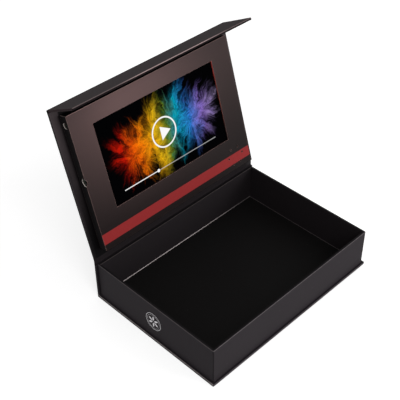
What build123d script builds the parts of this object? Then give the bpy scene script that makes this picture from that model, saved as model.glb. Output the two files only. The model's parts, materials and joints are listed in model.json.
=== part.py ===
from build123d import *
import math
import os

# A book-style magnetic presentation box of wrapped greyboard.  Its base carries an open tray.
# Its lid carries a video screen in a shallow pod, and ends in a magnetic flap.
# Millimetres and degrees.  +X runs along the lid hinge, +Y points to the hinge, +Z is up.
# The origin is the middle of the underside.

# ---------------------------------------------------------------- driving dimensions
# sheet materials
board = 2.0                 # greyboard of the case, the tray walls and the pod frame
paper = 0.15                # wrapping paper
stay_paper = 0.1            # kraft corner stays of the tray
liner_card = 0.6            # card laid on the tray's floor
face_board = 1.2            # card behind the printed face
turn_in = 15.0              # width of paper glued back over a board's edge
corner_round = 1.0          # wrapped corners, seen from above
edge_round = 0.4            # wrapped edges

# screen and the face round it
screen_width = 154.0
screen_height = 88.0
face_side_border = 25.0
face_top_border = 17.8
face_foot_border = 35.4

# pod and case
pod_depth = 9.3             # how far the face stands off the lid's lining
pod_side_inset = 10.0       # lid shown beside the pod
pod_top_inset = 8.9         # lid shown between the pod and the fold of the flap
pod_foot = 10.6             # from the hinge line to the pod's foot
pod_corner = 1.6
tray_height = 41.8
lip = 2.2                   # base shown outside the tray
liner_inset = 3.0           # lining paper stops this far inside the lid's edges
hinge_inset = 0.5           # hinge line in front of the spine's outer face
hinge_gutter = 4.1          # soft paper from the hinge line to the lid board
fold_gutter = 3.0           # soft paper each side of the flap's fold
spine_drop = 0.6            # spine board's top below the tray's rim

# open position
lid_lean = 16.7             # the lid leans back this far from upright
flap_fold = 79.3            # the flap is folded this far forward out of the lid's plane

# clearances of the closed box
lid_gap = 0.3               # lid lining above the tray's rim
flap_gap = 0.35             # flap lining in front of the tray
flap_foot_gap = 0.2         # flap's free edge above the base
floor_gap = 0.15            # floor liner to the tray's walls
edge_gap = 0.3              # boards and parts beside a wall

# magnets
magnet_radius = 6.0
magnet_thickness = 1.5
magnet_spread = 120.0       # between the two closing magnets
magnet_drop = 20.0          # magnets below the tray's rim
trigger_radius = 3.0
trigger_inset = 14.0        # trigger magnet from the tray's left end
trigger_drop = 6.0

# display module
bezel_side = 5.5
bezel_top = 5.8
bezel_foot = 6.2
glass_thickness = 1.3
light_guide_thickness = 1.5
pan_thickness = 0.6
pan_wall = 1.5
gasket_thickness = 0.5
gasket_margin = 1.0         # gasket's opening beyond the screen
display_pad = 10.0          # foam blocks behind the module's corners

# speaker behind its ring of holes
speaker_from_side = 20.0
speaker_foot_room = 0.25    # between the pod's wall and the speaker
speaker_display_room = 2.8  # between the speaker and the display module
speaker_pad = 0.75
speaker_gasket = 0.8
speaker_gasket_width = 0.7
speaker_magnet_radius = 7.0
speaker_magnet_height = 3.0
hole_radius = 1.1
hole_inset = 2.0            # circle of holes inside the speaker's rim
hole_count = 6

# controls in the pod's left wall
switch_hole_radius = 3.1
switch_from_top = 10.0
usb_notch_radius = 4.2
usb_notch_depth = 1.25      # notch centre behind the face
usb_from_foot = 74.1
bite_offset = 2.3           # centre of the print's cut-out outside the face's edge

# side board with the switch, the socket and the closing sensor
side_board_drop = 0.5       # its face below the back of the display module
circuit_board = 1.0
side_board_gap = 1.85       # beside the display module
side_board_end = 8.0        # beyond the socket
socket_length = 5.6
socket_width = 7.6
socket_height = 2.7
socket_shell = 0.35
tongue_width = 4.2
tongue_thickness = 0.6
switch_length = 8.6
switch_depth = 3.6
switch_height = 3.4
switch_wall = 0.6
slider_width = 1.8
slider_height = 1.3
slider_reach = 1.7
slider_travel = 2.0
slider_gap = 0.15
sensor_size = 3.0
sensor_height = 1.0

# main board and battery
pad_thickness = 0.5
main_board_width = 62.0
main_board_height = 50.0
main_board_from_side = 24.0
main_board_from_pads = 10.8
main_board_hole = 1.1
lead_room = 19.7            # between the main board and the battery
battery_room = 0.7          # between the battery and the display module
battery_from_side = 19.0
battery_from_pads = 14.0
battery_tape = 0.15
terrace_width = 4.0
wire_radius = 0.55
wire_bend = 3.0
flex = 0.2                  # thickness of the flat cables

# parts of the main board
plug_room = 0.55            # between the plugs and the display module
display_plug_width = 30.0
display_plug_depth = 4.4
ribbon_plug_width = 10.0
ribbon_plug_depth = 3.6
lead_plug_width = 6.0
lead_plug_depth = 5.0
processor_size = 12.0
chip_height = 1.2
memory_width = 8.0
memory_length = 13.0
driver_size = 6.0
coil_size = 5.0
capacitor_width = 1.2
capacitor_length = 2.2
crystal_length = 8.0
crystal_width = 3.4

# ---------------------------------------------------------------- worked-out places
base_top = board + 2 * paper
rim = base_top + tray_height
lining = board + 3 * paper          # lid or flap thickness with its lining
hinge_z = rim + lid_gap + lining
spine_top = rim - spine_drop

pod_width = screen_width + 2 * face_side_border
pod_height = face_foot_border + screen_height + face_top_border
case_width = pod_width + 2 * pod_side_inset
fold_at = pod_foot + pod_height + pod_top_inset     # from the hinge line to the flap's fold
case_depth = fold_at - lining - flap_gap + lip + hinge_inset
hinge_y = case_depth / 2 - hinge_inset
flap_length = hinge_z - base_top - flap_foot_gap

half_width = case_width / 2
front = -case_depth / 2
back = case_depth / 2
spine_inner = back - base_top

# tray, outside to inside: wrap, corner stay, board, wrap
tray_wall = board + stay_paper + 2 * paper
tray_half = half_width - lip
tray_front = front + lip
tray_back = spine_inner
magnet_z = rim - magnet_drop

# lid frame: x along the hinge, y up the lid from the hinge line, z inwards from its outer face
pod_half = pod_width / 2
pod_top = pod_foot + pod_height
face_front = lining + pod_depth
face_back = face_front - paper - face_board
screen_foot = pod_foot + face_foot_border
screen_top = screen_foot + screen_height
wall_inner = pod_half - paper - board
module_half = screen_width / 2 + bezel_side
module_foot = screen_foot - bezel_foot
module_top = screen_top + bezel_top
module_front = face_back - gasket_thickness
glass_back = module_front - glass_thickness
guide_back = glass_back - light_guide_thickness
module_back = guide_back - pan_thickness
speaker_x = pod_half - speaker_from_side
speaker_room = face_foot_border - bezel_foot - paper - board    # along the lid
speaker_radius = (speaker_room - speaker_foot_room - speaker_display_room) / 2
speaker_y = pod_foot + paper + board + speaker_foot_room + speaker_radius
hole_circle_radius = speaker_radius - hole_inset
switch_y = pod_top - switch_from_top
usb_y = pod_foot + usb_from_foot
usb_notch_z = face_front - usb_notch_depth
side_board_front = module_back - side_board_drop
side_board_back = side_board_front - circuit_board
side_board_outer = -wall_inner + edge_gap
side_board_inner = -module_half - side_board_gap
side_board_foot = usb_y - side_board_end
side_board_top = pod_top - paper - board - edge_gap
switch_face = side_board_outer + edge_gap
main_back = lining + pad_thickness
main_front = main_back + circuit_board
plug_height = module_back - main_front - plug_room
main_left = -wall_inner + main_board_from_side
main_right = main_left + main_board_width
main_foot = module_foot + display_pad + main_board_from_pads
main_top = main_foot + main_board_height
battery_right = wall_inner - battery_from_side
battery_left = main_right + lead_room
battery_foot = module_foot + display_pad + battery_from_pads
battery_top = module_top - display_pad - battery_from_pads
battery_back = lining + battery_tape
battery_thickness = module_back - battery_back - battery_room

lid_place = Location((0, hinge_y, hinge_z), (90 - lid_lean, 0, 0))
flap_place = lid_place * Location((0, fold_at, 0), (flap_fold, 0, 0))


# ---------------------------------------------------------------- shared shapes
def block(x, y, z):
    """Solid between a low and a high value along each axis."""
    spans = (x, y, z)
    middle = [(low + high) / 2 for low, high in spans]
    return Pos(*middle) * Box(*[high - low for low, high in spans])


def rounded_block(x, y, z, corner):
    """Solid like block, with its four upright corners rounded."""
    outline = RectangleRounded(x[1] - x[0], y[1] - y[0], corner)
    return Pos((x[0] + x[1]) / 2, (y[0] + y[1]) / 2, z[0]) * extrude(outline, z[1] - z[0])


def across(x, y, z, radius, length):
    """Cylinder along X, centred on the point."""
    return Pos(x, y, z) * Rot(0, 90, 0) * Cylinder(radius, length)


def wrapped_sheet(width, low, high, free_end):
    """Board along Y from low to high, and the paper wrapped round it.

    The outer face is at z = 0, and the paper is turned in over the inner face.  A free end has
    rounded corners, and an end at a hinge is square.
    """
    core = block((-width / 2 + paper, width / 2 - paper), (low + paper, high - paper), (paper, paper + board))
    skin = block((-width / 2, width / 2), (low, high), (0, base_top))
    if free_end:
        core = fillet(core.edges().filter_by(Axis.Z).group_by(Axis.Y)[-1], corner_round - paper)
        skin = fillet(skin.edges().filter_by(Axis.Z).group_by(Axis.Y)[-1], corner_round)
        skin = fillet(skin.edges().group_by(Axis.Y)[-1], edge_round)
    else:
        core = fillet(core.edges().filter_by(Axis.Y), edge_round - paper)
        skin = fillet(skin.edges().filter_by(Axis.Y), edge_round)
    window = block(
        (-width / 2 + turn_in, width / 2 - turn_in), (low + turn_in, high - turn_in),
        (paper + board, base_top),
    )
    return core, skin - core - window


def ring(x, y, z, corner, wall):
    """Upright wall round a rounded rectangle."""
    outer = rounded_block(x, y, z, corner)
    inner_corner = max(corner - wall, wall / 10)
    inner = rounded_block((x[0] + wall, x[1] - wall), (y[0] + wall, y[1] - wall), z, inner_corner)
    return outer - inner


def strip(points, radius, thickness, low, high):
    """Bent sheet: a line through points in the Y-Z plane, given a thickness, from x = low to high."""
    line = FilletPolyline(*points, radius=radius)
    section = Plane.YZ.offset(low) * trace(line, thickness)
    return extrude(section, high - low, dir=(1, 0, 0))


def wire(points):
    """Round wire along straight runs joined by arcs."""
    path = FilletPolyline(*points, radius=wire_bend)
    return sweep(Plane(origin=path @ 0, z_dir=path % 0) * Circle(wire_radius), path=path)


# ---------------------------------------------------------------- base, spine and tray
def base_outline(inset):
    """Base seen from above, with its two front corners rounded."""
    low, high = front + inset, back - inset
    outline = Pos(0, (low + high) / 2) * Rectangle(case_width - 2 * inset, high - low)
    return fillet(outline.vertices().group_by(Axis.Y)[0], corner_round - inset)


def make_base_board():
    """Greyboard under the tray, stopping against the spine."""
    sheet = Pos(0, 0, paper) * extrude(base_outline(paper), board)
    sheet -= block((-half_width, half_width), (back - paper - board, back), (0, base_top))
    return sheet


def make_spine_board():
    """Greyboard up the back."""
    half = half_width - paper
    sheet = block((-half, half), (back - paper - board, back - paper), (paper, spine_top - paper))
    low_back = sheet.edges().filter_by(Axis.X).group_by(Axis.Z)[0].sort_by(Axis.Y)[-1]
    upright = sheet.edges().filter_by(Axis.Z).group_by(Axis.Y)[-1]
    return fillet([low_back] + list(upright), edge_round - paper)


def make_case_wrap(base_board, spine_board):
    """Paper round the base and the spine, turned in over their edges."""
    base = extrude(base_outline(0), base_top)
    spine = block((-half_width, half_width), (back - base_top, back), (0, spine_top))
    skin = base + spine
    upright = skin.edges().filter_by(Axis.Z).group_by(Axis.Y)[-1]
    low_back = skin.edges().filter_by(Axis.X).group_by(Axis.Z)[0].sort_by(Axis.Y)[-1]
    skin = fillet([low_back] + list(upright), edge_round)
    window_half = half_width - turn_in
    inner_levels = (paper + board, base_top)
    floor_window = block((-window_half, window_half), (front + turn_in, spine_inner), inner_levels)
    spine_window = block(
        (-window_half, window_half), (spine_inner, back - paper - board), (base_top, spine_top - turn_in)
    )
    return skin - base_board - spine_board - floor_window - spine_window


def tray_block(inset, z, corner):
    """Solid inside the tray's outline, set in by inset."""
    return rounded_block(
        (-tray_half + inset, tray_half - inset), (tray_front + inset, tray_back - inset), z, corner
    )


def make_tray_board():
    """Scored and folded greyboard wall round the tray, with pockets for its magnets."""
    outer = paper + stay_paper
    z = (base_top, rim - paper)
    wall = tray_block(outer, z, corner_round - outer) - tray_block(tray_wall - paper, z, edge_round)
    pocket_y = tray_front + outer + magnet_thickness / 2
    for x in (-magnet_spread / 2, magnet_spread / 2):
        wall -= Pos(x, pocket_y, magnet_z) * Rot(90, 0, 0) * Cylinder(magnet_radius, magnet_thickness)
    trigger_x = -tray_half + trigger_inset
    return wall - Pos(trigger_x, pocket_y, rim - trigger_drop) * Rot(90, 0, 0) * Cylinder(
        trigger_radius, magnet_thickness
    )


def tray_magnet(x, z, radius):
    """Disc magnet in the tray's front wall, flush with the board's outer face."""
    y = tray_front + paper + stay_paper + magnet_thickness / 2
    return Pos(x, y, z) * Rot(90, 0, 0) * Cylinder(radius, magnet_thickness)


def make_corner_stays():
    """Kraft paper round each upright corner of the tray board."""
    leg = turn_in + edge_gap
    z = (base_top + tray_height / 8, rim - tray_height / 8)
    sleeve = tray_block(paper, z, corner_round - paper) - tray_block(
        paper + stay_paper, z, corner_round - paper - stay_paper
    )
    stays = []
    for x in (-tray_half, tray_half):
        for y in (tray_front, tray_back):
            corner = Pos(x, y, (z[0] + z[1]) / 2) * Box(2 * leg, 2 * leg, z[1] - z[0])
            stays.append((sleeve & corner).solid())
    return Compound(stays)


def make_tray_wrap():
    """Paper outside the tray's walls, over the rim and down inside."""
    outer = tray_block(0, (base_top, rim), corner_round)
    outer = fillet(outer.faces().sort_by(Axis.Z)[-1].edges(), edge_round * 0.8)
    inside = tray_block(tray_wall, (base_top, rim), edge_round)
    core = tray_block(paper, (base_top, rim - paper), corner_round - paper)
    core -= tray_block(tray_wall - paper, (base_top, rim - paper), edge_round)
    return outer - inside - core


def make_floor_liner():
    """Card laid on the tray's floor."""
    return tray_block(tray_wall + floor_gap, (base_top, base_top + liner_card), edge_round)


# ---------------------------------------------------------------- lid and flap
def make_lid_liner():
    """Paper lining of the lid's inner face."""
    half = half_width - liner_inset
    return block((-half, half), (hinge_gutter, fold_at - fold_gutter), (base_top, lining))


def make_flap_board(core):
    """Flap board with pockets for its magnets, open to the inner face."""
    for magnet in flap_magnets():
        core -= magnet
    return core


def flap_magnets():
    """Disc magnets that meet those in the tray's front wall when the box is shut."""
    along = hinge_z - magnet_z
    z = paper + board - magnet_thickness / 2
    spots = (-magnet_spread / 2, magnet_spread / 2)
    return [Pos(x, along, z) * Cylinder(magnet_radius, magnet_thickness) for x in spots]


def make_flap_liner():
    """Paper lining of the flap's inner face."""
    half = half_width - liner_inset
    return block((-half, half), (fold_gutter, flap_length - liner_inset), (base_top, lining))


def lid_point(along, inwards):
    """Y and Z of a point of the lid in the case's frame."""
    lean = math.radians(lid_lean)
    y = hinge_y + along * math.sin(lean) - inwards * math.cos(lean)
    return y, hinge_z + along * math.cos(lean) + inwards * math.sin(lean)


def make_lid_hinge():
    """Double paper from the spine's top to the lid board."""
    middle = paper                      # centre of two papers
    lean = math.radians(lid_lean)
    outer_y = back - middle
    kink_along = (outer_y - hinge_y + middle * math.cos(lean)) / math.sin(lean)
    kink = (outer_y, lid_point(kink_along, middle)[1])
    points = [(outer_y, spine_top), kink, lid_point(hinge_gutter, middle)]
    room = min(kink[1] - spine_top, hinge_gutter - kink_along)
    radius = 0.8 * room / math.tan(lean / 2)
    return strip(points, radius, 2 * paper, -half_width + edge_round, half_width - edge_round)


def make_flap_hinge():
    """Double paper round the fold between the lid board and the flap board, in the lid's frame."""
    middle = paper
    fold = math.radians(flap_fold)
    corner = (fold_at - middle * math.tan(fold / 2), middle)
    end_y = fold_at + fold_gutter * math.cos(fold) - middle * math.sin(fold)
    end = (end_y, fold_gutter * math.sin(fold) + middle * math.cos(fold))
    points = [(fold_at - fold_gutter, middle), corner, end]
    radius = fold_gutter / 2
    return strip(points, radius, 2 * paper, -half_width + edge_round, half_width - edge_round)


# ---------------------------------------------------------------- pod
def pod_block(inset, z, corner):
    """Solid inside the pod's outline, set in by inset."""
    x = (-pod_half + inset, pod_half - inset)
    return rounded_block(x, (pod_foot + inset, pod_top - inset), z, corner)


def wall_cuts():
    """Round switch hole and open socket notch through the pod's left wall."""
    length = 4 * (board + paper)
    switch_z = (lining + face_front) / 2
    hole = across(-pod_half, switch_y, switch_z, switch_hole_radius, length)
    return hole + across(-pod_half, usb_y, usb_notch_z, usb_notch_radius, length)


def face_cuts():
    """Screen window and ring of speaker holes through the face card and its print."""
    middle = (face_back + face_front) / 2
    depth = 2 * (face_front - face_back)
    cuts = Pos(0, (screen_foot + screen_top) / 2, middle) * Box(screen_width, screen_height, depth)
    for hole in PolarLocations(hole_circle_radius, hole_count):
        cuts += Pos(speaker_x, speaker_y, middle) * hole * Cylinder(hole_radius, depth)
    return cuts


def make_pod_frame(cuts):
    """Greyboard wall round the pod."""
    sides = (-pod_half + paper, pod_half - paper)
    ends = (pod_foot + paper, pod_top - paper)
    return ring(sides, ends, (lining, face_front - paper), pod_corner - paper, board) - cuts


def make_pod_wrap(cuts):
    """Paper round the outside of the pod's wall."""
    z = (lining, face_front - paper)
    return pod_block(0, z, pod_corner) - pod_block(paper, z, pod_corner - paper) - cuts


def make_face_card(cuts):
    """Card set inside the pod's wall, flush with its front, that holds the display."""
    return pod_block(paper + board, (face_back, face_front - paper), board / 10) - cuts


def make_face_print(cuts):
    """Printed sheet over the face card and the wall, cut out in a curve over the socket's notch."""
    sheet = pod_block(0, (face_front - paper, face_front), pod_corner)
    return sheet - cuts - Pos(-pod_half - bite_offset, usb_y, face_front) * Cylinder(usb_notch_radius, board)


# ---------------------------------------------------------------- display
def module_block(inset, z, corner):
    """Solid inside the display module's outline, set in by inset."""
    return rounded_block(
        (-module_half + inset, module_half - inset), (module_foot + inset, module_top - inset), z, corner
    )


def make_display_pan():
    """Metal pan that holds the light guide and the glass."""
    pan = module_block(0, (module_back, module_front), pan_wall / 2)
    return pan - module_block(pan_wall, (guide_back, module_front), pan_wall / 4)


def make_light_guide():
    """Light guide and its diffuser films behind the glass."""
    return module_block(pan_wall + slider_gap, (guide_back, glass_back), pan_wall / 4)


def make_display_glass():
    """Liquid-crystal cell with its polarisers."""
    return module_block(pan_wall + slider_gap, (glass_back, module_front), pan_wall / 4)


def make_display_gasket():
    """Foam ring between the module and the face card."""
    z = (module_front, face_back)
    half = screen_width / 2 + gasket_margin
    opening = block((-half, half), (screen_foot - gasket_margin, screen_top + gasket_margin), z)
    return module_block(0, z, pan_wall / 2) - opening


def make_display_pads():
    """Foam blocks between the lid and the module's four corners."""
    pads = []
    for x in (-module_half + display_pad / 2, module_half - display_pad / 2):
        for y in (module_foot + display_pad / 2, module_top - display_pad / 2):
            z = (lining, module_back)
            half = display_pad / 2
            pads.append(rounded_block((x - half, x + half), (y - half, y + half), z, pan_wall / 2))
    return Compound([pad.solid() for pad in pads])


# ---------------------------------------------------------------- speaker
def turned(points, x, y):
    """Solid turned about an upright axis at x, y from a profile of radius and height."""
    profile = Plane.XZ * make_face(Polyline(*points, close=True))
    return Pos(x, y, 0) * revolve(profile, Axis.Z)


def speaker_heights():
    """Back of the magnet, front of the magnet, and front of the basket's rim."""
    magnet_back = lining + speaker_pad
    return magnet_back, magnet_back + speaker_magnet_height, face_back - speaker_gasket


def make_speaker_basket():
    """Round basket: a dished cup from the magnet out to a flat rim."""
    _, magnet_front, rim_front = speaker_heights()
    wall = 2 * slider_gap
    rim_back = rim_front - 4 * wall
    throat = speaker_magnet_radius - 2 * wall
    points = [
        (throat, magnet_front), (speaker_magnet_radius + wall, magnet_front),
        (speaker_radius - wall, rim_back), (speaker_radius, rim_back), (speaker_radius, rim_front),
        (speaker_radius - 4 * wall, rim_front), (speaker_radius - 4 * wall, rim_back + wall),
        (speaker_magnet_radius, magnet_front + wall), (throat, magnet_front + wall),
    ]
    return turned(points, speaker_x, speaker_y)


def make_speaker_magnet():
    """Magnet pot behind the basket."""
    magnet_back, magnet_front, _ = speaker_heights()
    pot = Pos(speaker_x, speaker_y, (magnet_back + magnet_front) / 2) * Cylinder(
        speaker_magnet_radius, speaker_magnet_height
    )
    return fillet(pot.faces().sort_by(Axis.Z)[0].edges(), edge_round)


def make_speaker_cone():
    """Thin cone with a domed cap, on the basket's rim step."""
    _, magnet_front, rim_front = speaker_heights()
    skin = 2 * slider_gap
    outer = speaker_radius - 4 * skin
    cap = speaker_magnet_radius - 4 * skin
    deep = magnet_front + 3 * skin
    edge = rim_front - skin
    points = [
        (0, deep + 2 * skin), (cap / 2, deep + 1.7 * skin), (cap, deep), (outer, edge - skin),
        (outer, edge), (outer - skin, edge), (cap, deep + skin),
        (cap / 2, deep + 2.7 * skin), (0, deep + 3 * skin),
    ]
    return turned(points, speaker_x, speaker_y)


def make_speaker_gasket():
    """Foam ring between the basket's rim and the face card."""
    _, _, rim_front = speaker_heights()
    outline = Circle(speaker_radius) - Circle(speaker_radius - speaker_gasket_width)
    return Pos(speaker_x, speaker_y, rim_front) * extrude(outline, face_back - rim_front)


def make_speaker_pad():
    """Foam disc that holds the magnet off the lid."""
    return Pos(speaker_x, speaker_y, lining) * extrude(Circle(speaker_magnet_radius), speaker_pad)


# ---------------------------------------------------------------- side board and controls
def make_side_board():
    """Narrow circuit board along the pod's left wall."""
    return rounded_block(
        (side_board_outer, side_board_inner), (side_board_foot, side_board_top),
        (side_board_back, side_board_front), edge_round,
    )


def make_side_foam():
    """Foam strip that carries the side board."""
    inset = (side_board_inner - side_board_outer) / 4
    return rounded_block(
        (side_board_outer + inset, side_board_inner - inset),
        (side_board_foot + inset, side_board_top - inset),
        (lining, side_board_back), edge_round,
    )


def socket_section(inset):
    """Socket seen from its mouth: flat on top, with its two lower corners cut off."""
    half = socket_width / 2 - inset
    low, high = inset, socket_height - inset
    chamfer = socket_height / 3
    outline = Polyline(
        (-half + chamfer, low), (half - chamfer, low), (half, low + chamfer), (half, high),
        (-half, high), (-half, low + chamfer), close=True,
    )
    return make_face(outline)


def socket_solid(section, start, length):
    """Carry a socket section along X from start."""
    plane = Plane(origin=(start, usb_y, side_board_front), x_dir=(0, 1, 0), z_dir=(1, 0, 0))
    return extrude(plane * section, length, dir=(1, 0, 0))


def make_usb_socket():
    """Folded metal shell of the charging socket, open towards the wall."""
    shell = socket_solid(socket_section(0), switch_face, socket_length)
    return shell - socket_solid(socket_section(socket_shell), switch_face, socket_length - socket_shell)


def make_usb_tongue():
    """Contact tongue inside the socket."""
    top = side_board_front + socket_height / 2 + tongue_thickness / 2
    return rounded_block(
        (switch_face + 3 * socket_shell, switch_face + socket_length - socket_shell),
        (usb_y - tongue_width / 2, usb_y + tongue_width / 2),
        (top - tongue_thickness, top), tongue_thickness / 2,
    )


def slider_levels():
    """Low and high z of the slider's stem."""
    middle = side_board_front + switch_height / 2
    return middle - slider_height / 2, middle + slider_height / 2


def make_switch_housing():
    """Slide switch housing with a slot towards the pod's wall."""
    y = (switch_y - switch_length / 2, switch_y + switch_length / 2)
    z = (side_board_front, side_board_front + switch_height)
    housing = block((switch_face, switch_face + switch_depth), y, z)
    housing = fillet(housing.edges().filter_by(Axis.X), edge_round)
    stem_low, stem_high = slider_levels()
    slot_half = (slider_width + slider_travel) / 2 + slider_gap
    slot = block(
        (switch_face, switch_face + switch_wall), (switch_y - slot_half, switch_y + slot_half),
        (stem_low - slider_gap, stem_high + slider_gap),
    )
    room = block(
        (switch_face + switch_wall, switch_face + switch_depth - switch_wall),
        (y[0] + switch_wall, y[1] - switch_wall), (z[0] + switch_wall, z[1] - switch_wall),
    )
    return housing - slot - room


def make_power_slider():
    """Slider with a captive foot and a ribbed head, at the foot end of its slot."""
    middle = switch_y - slider_travel / 2
    half = slider_width / 2
    stem_low, stem_high = slider_levels()
    foot_start = switch_face + switch_wall + slider_gap
    foot_end = switch_face + switch_depth - switch_wall - slider_gap
    foot_low = side_board_front + switch_wall + slider_gap
    foot_high = side_board_front + switch_height - switch_wall - slider_gap
    foot = block((foot_start, foot_end), (middle - half, middle + half), (foot_low, foot_high))
    head_start = switch_face - slider_reach
    stem = block((head_start, foot_end), (middle - half, middle + half), (stem_low, stem_high))
    slider = foot + stem
    slider = fillet(slider.edges().filter_by(Axis.Z).group_by(Axis.X)[0], slider_gap)
    for step in (-1, 0, 1):
        rib = Pos(head_start, middle + step * half / 2, 0) * Cylinder(slider_gap, 4 * side_board_front)
        slider -= rib
    return slider


def make_closing_sensor():
    """Sensor that switches the screen off when the trigger magnet comes near."""
    x = (side_board_outer + side_board_inner) / 2
    y = side_board_top - sensor_size
    half = sensor_size / 2
    return rounded_block(
        (x - half, x + half), (y - half, y + half),
        (side_board_front, side_board_front + sensor_height), slider_gap,
    )


# ---------------------------------------------------------------- main board, battery and wiring
def make_main_board():
    """Main circuit board with a hole in each corner."""
    z = (main_back, main_front)
    sheet = rounded_block((main_left, main_right), (main_foot, main_top), z, corner_round)
    inset = 3 * main_board_hole
    for x in (main_left + inset, main_right - inset):
        for y in (main_foot + inset, main_top - inset):
            sheet -= Pos(x, y, main_back) * Cylinder(main_board_hole, 4 * circuit_board)
    return sheet


def make_main_pads():
    """Double-sided foam pads under the main board."""
    pads = []
    reach = main_board_height / 5
    for x in (main_left + reach, main_right - reach):
        for y in (main_foot + reach, main_top - reach):
            half = reach / 2
            z = (lining, main_back)
            pads.append(rounded_block((x - half, x + half), (y - half, y + half), z, edge_round))
    return Compound([pad.solid() for pad in pads])


def on_main_board(x, y, width, height, rise):
    """Component on the main board, its middle at x, y from the board's lower left corner."""
    left, foot = main_left + x - width / 2, main_foot + y - height / 2
    body = block((left, left + width), (foot, foot + height), (main_front, main_front + rise))
    return fillet(body.edges().filter_by(Axis.Z), edge_round / 2).solid()


def connector_places():
    """Middle of each plug connector from the main board's corner, with its width and height."""
    right = main_board_width - lead_plug_depth / 2
    return {
        "display": (main_board_width / 2, display_plug_depth / 2, display_plug_width, display_plug_depth),
        "side": (ribbon_plug_depth / 2, main_board_height * 0.66, ribbon_plug_depth, ribbon_plug_width),
        "battery": (right, main_board_height * 0.7, lead_plug_depth, lead_plug_width),
        "speaker": (right, main_board_height * 0.22, lead_plug_depth, lead_plug_width),
    }


def make_main_chips():
    """Processor, memory, driver and power parts of the main board."""
    wide, high = main_board_width, main_board_height
    parts = [
        on_main_board(wide * 0.36, high * 0.52, processor_size, processor_size, chip_height),
        on_main_board(wide * 0.64, high * 0.56, memory_width, memory_length, chip_height),
        on_main_board(wide * 0.18, high * 0.8, driver_size, driver_size, chip_height),
        on_main_board(wide * 0.72, high * 0.86, coil_size, coil_size, plug_height),
        on_main_board(wide * 0.58, high * 0.86, coil_size, coil_size, plug_height),
    ]
    for step in range(5):
        x = wide * 0.3 + 2.5 * step * capacitor_width
        parts.append(on_main_board(x, high * 0.28, capacitor_width, capacitor_length, chip_height))
    crystal = Pos(main_left + wide * 0.17, main_foot + high * 0.5, main_front) * extrude(
        SlotOverall(crystal_length, crystal_width), plug_height * 0.9
    )
    return Compound(parts + [crystal.solid()])


def make_connectors():
    """Plug connectors round the main board's edge."""
    return Compound([on_main_board(*place, plug_height) for place in connector_places().values()])


def make_battery():
    """Lithium pouch cell with rounded long edges and a thin sealed terrace at its left end."""
    z = (battery_back, battery_back + battery_thickness)
    cell = block((battery_left + terrace_width, battery_right), (battery_foot, battery_top), z)
    cell = fillet(cell.edges().filter_by(Axis.X), battery_thickness / 3)
    terrace = block((battery_left, battery_left + terrace_width), (battery_foot + terrace_width,
                    battery_top - terrace_width), (z[0], z[0] + battery_thickness / 4))
    return cell + terrace


def make_battery_board():
    """Protection board on the cell's terrace."""
    low = battery_back + battery_thickness / 4
    inset = 2 * terrace_width
    return rounded_block(
        (battery_left, battery_left + terrace_width - edge_gap), (battery_foot + inset, battery_top - inset),
        (low, low + circuit_board), edge_round,
    )


def make_battery_tape():
    """Adhesive sheet under the battery."""
    inset = battery_thickness
    return block(
        (battery_left + inset, battery_right - inset), (battery_foot + inset, battery_top - inset),
        (lining, battery_back),
    )


def connector_edge(name, side):
    """Point in the middle of one connector's face: right or foot."""
    x, y, width, height = connector_places()[name]
    z = main_front + plug_height / 2
    if side == "right":
        return main_left + x + width / 2, main_foot + y, z
    return main_left + x, main_foot + y - height / 2, z


def make_battery_wires():
    """Two wires from the protection board to the main board."""
    x, y, z = connector_edge("battery", "right")
    end = battery_left
    end_z = battery_back + battery_thickness / 4 + circuit_board / 2
    half = (end - x) / 2
    wires = []
    for shift in (-1.5 * wire_radius, 1.5 * wire_radius):
        drop = 4 * wire_bend
        points = [
            (x, y + shift, z), (x + half * 0.5, y + shift, z),
            (x + half * 1.5, y + shift - drop, end_z), (end, y + shift - drop, end_z),
        ]
        wires.append(wire(points).solid())
    return Compound(wires)


def make_speaker_wires():
    """Two wires from the speaker's basket, along the foot of the pod, to the main board."""
    x, y, z = connector_edge("speaker", "right")
    magnet_back, magnet_front, _ = speaker_heights()
    start_z = (magnet_back + magnet_front) / 2
    wires = []
    for shift in (-1.5 * wire_radius, 1.5 * wire_radius):
        nearest = abs(shift) - wire_radius
        side = speaker_x - math.sqrt(speaker_magnet_radius ** 2 - nearest ** 2)
        turn = x + 4 * wire_bend + shift
        points = [
            (side, speaker_y + shift, start_z), (speaker_x - 3 * speaker_radius, speaker_y + shift, start_z),
            (turn, speaker_y + 2 * wire_bend + shift, z), (turn, y + shift, z), (x, y + shift, z),
        ]
        wires.append(wire(points).solid())
    return Compound(wires)


def make_display_flex():
    """Flat cable from the module's foot round to the main board."""
    x, y, z = connector_edge("display", "foot")
    out = module_foot - 3 * wire_bend / 2
    leave = (glass_back + module_front) / 2
    points = [(module_foot, leave), (out, leave), (out, z), (y, z)]
    half = connector_places()["display"][2] / 2 - edge_gap
    return strip(points, 0.9 * wire_bend / 2, flex, x - half, x + half)


def make_side_flex():
    """Flat cable from the side board to the main board."""
    x, y, width, height = connector_places()["side"]
    left = main_left + x - width / 2
    z = main_front + plug_height / 2
    start_z = (side_board_back + side_board_front) / 2
    gap = left - side_board_inner
    points = [
        (side_board_inner, start_z), (side_board_inner + gap / 3, start_z), (left - gap / 3, z), (left, z),
    ]
    line = FilletPolyline(*points, radius=gap / 6)
    low = main_foot + y - height / 2 + edge_gap
    high = main_foot + y + height / 2 - edge_gap
    section = Plane(origin=(0, high, 0), x_dir=(1, 0, 0), z_dir=(0, -1, 0)) * trace(line, flex)
    return extrude(section, high - low, dir=(0, -1, 0))


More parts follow.
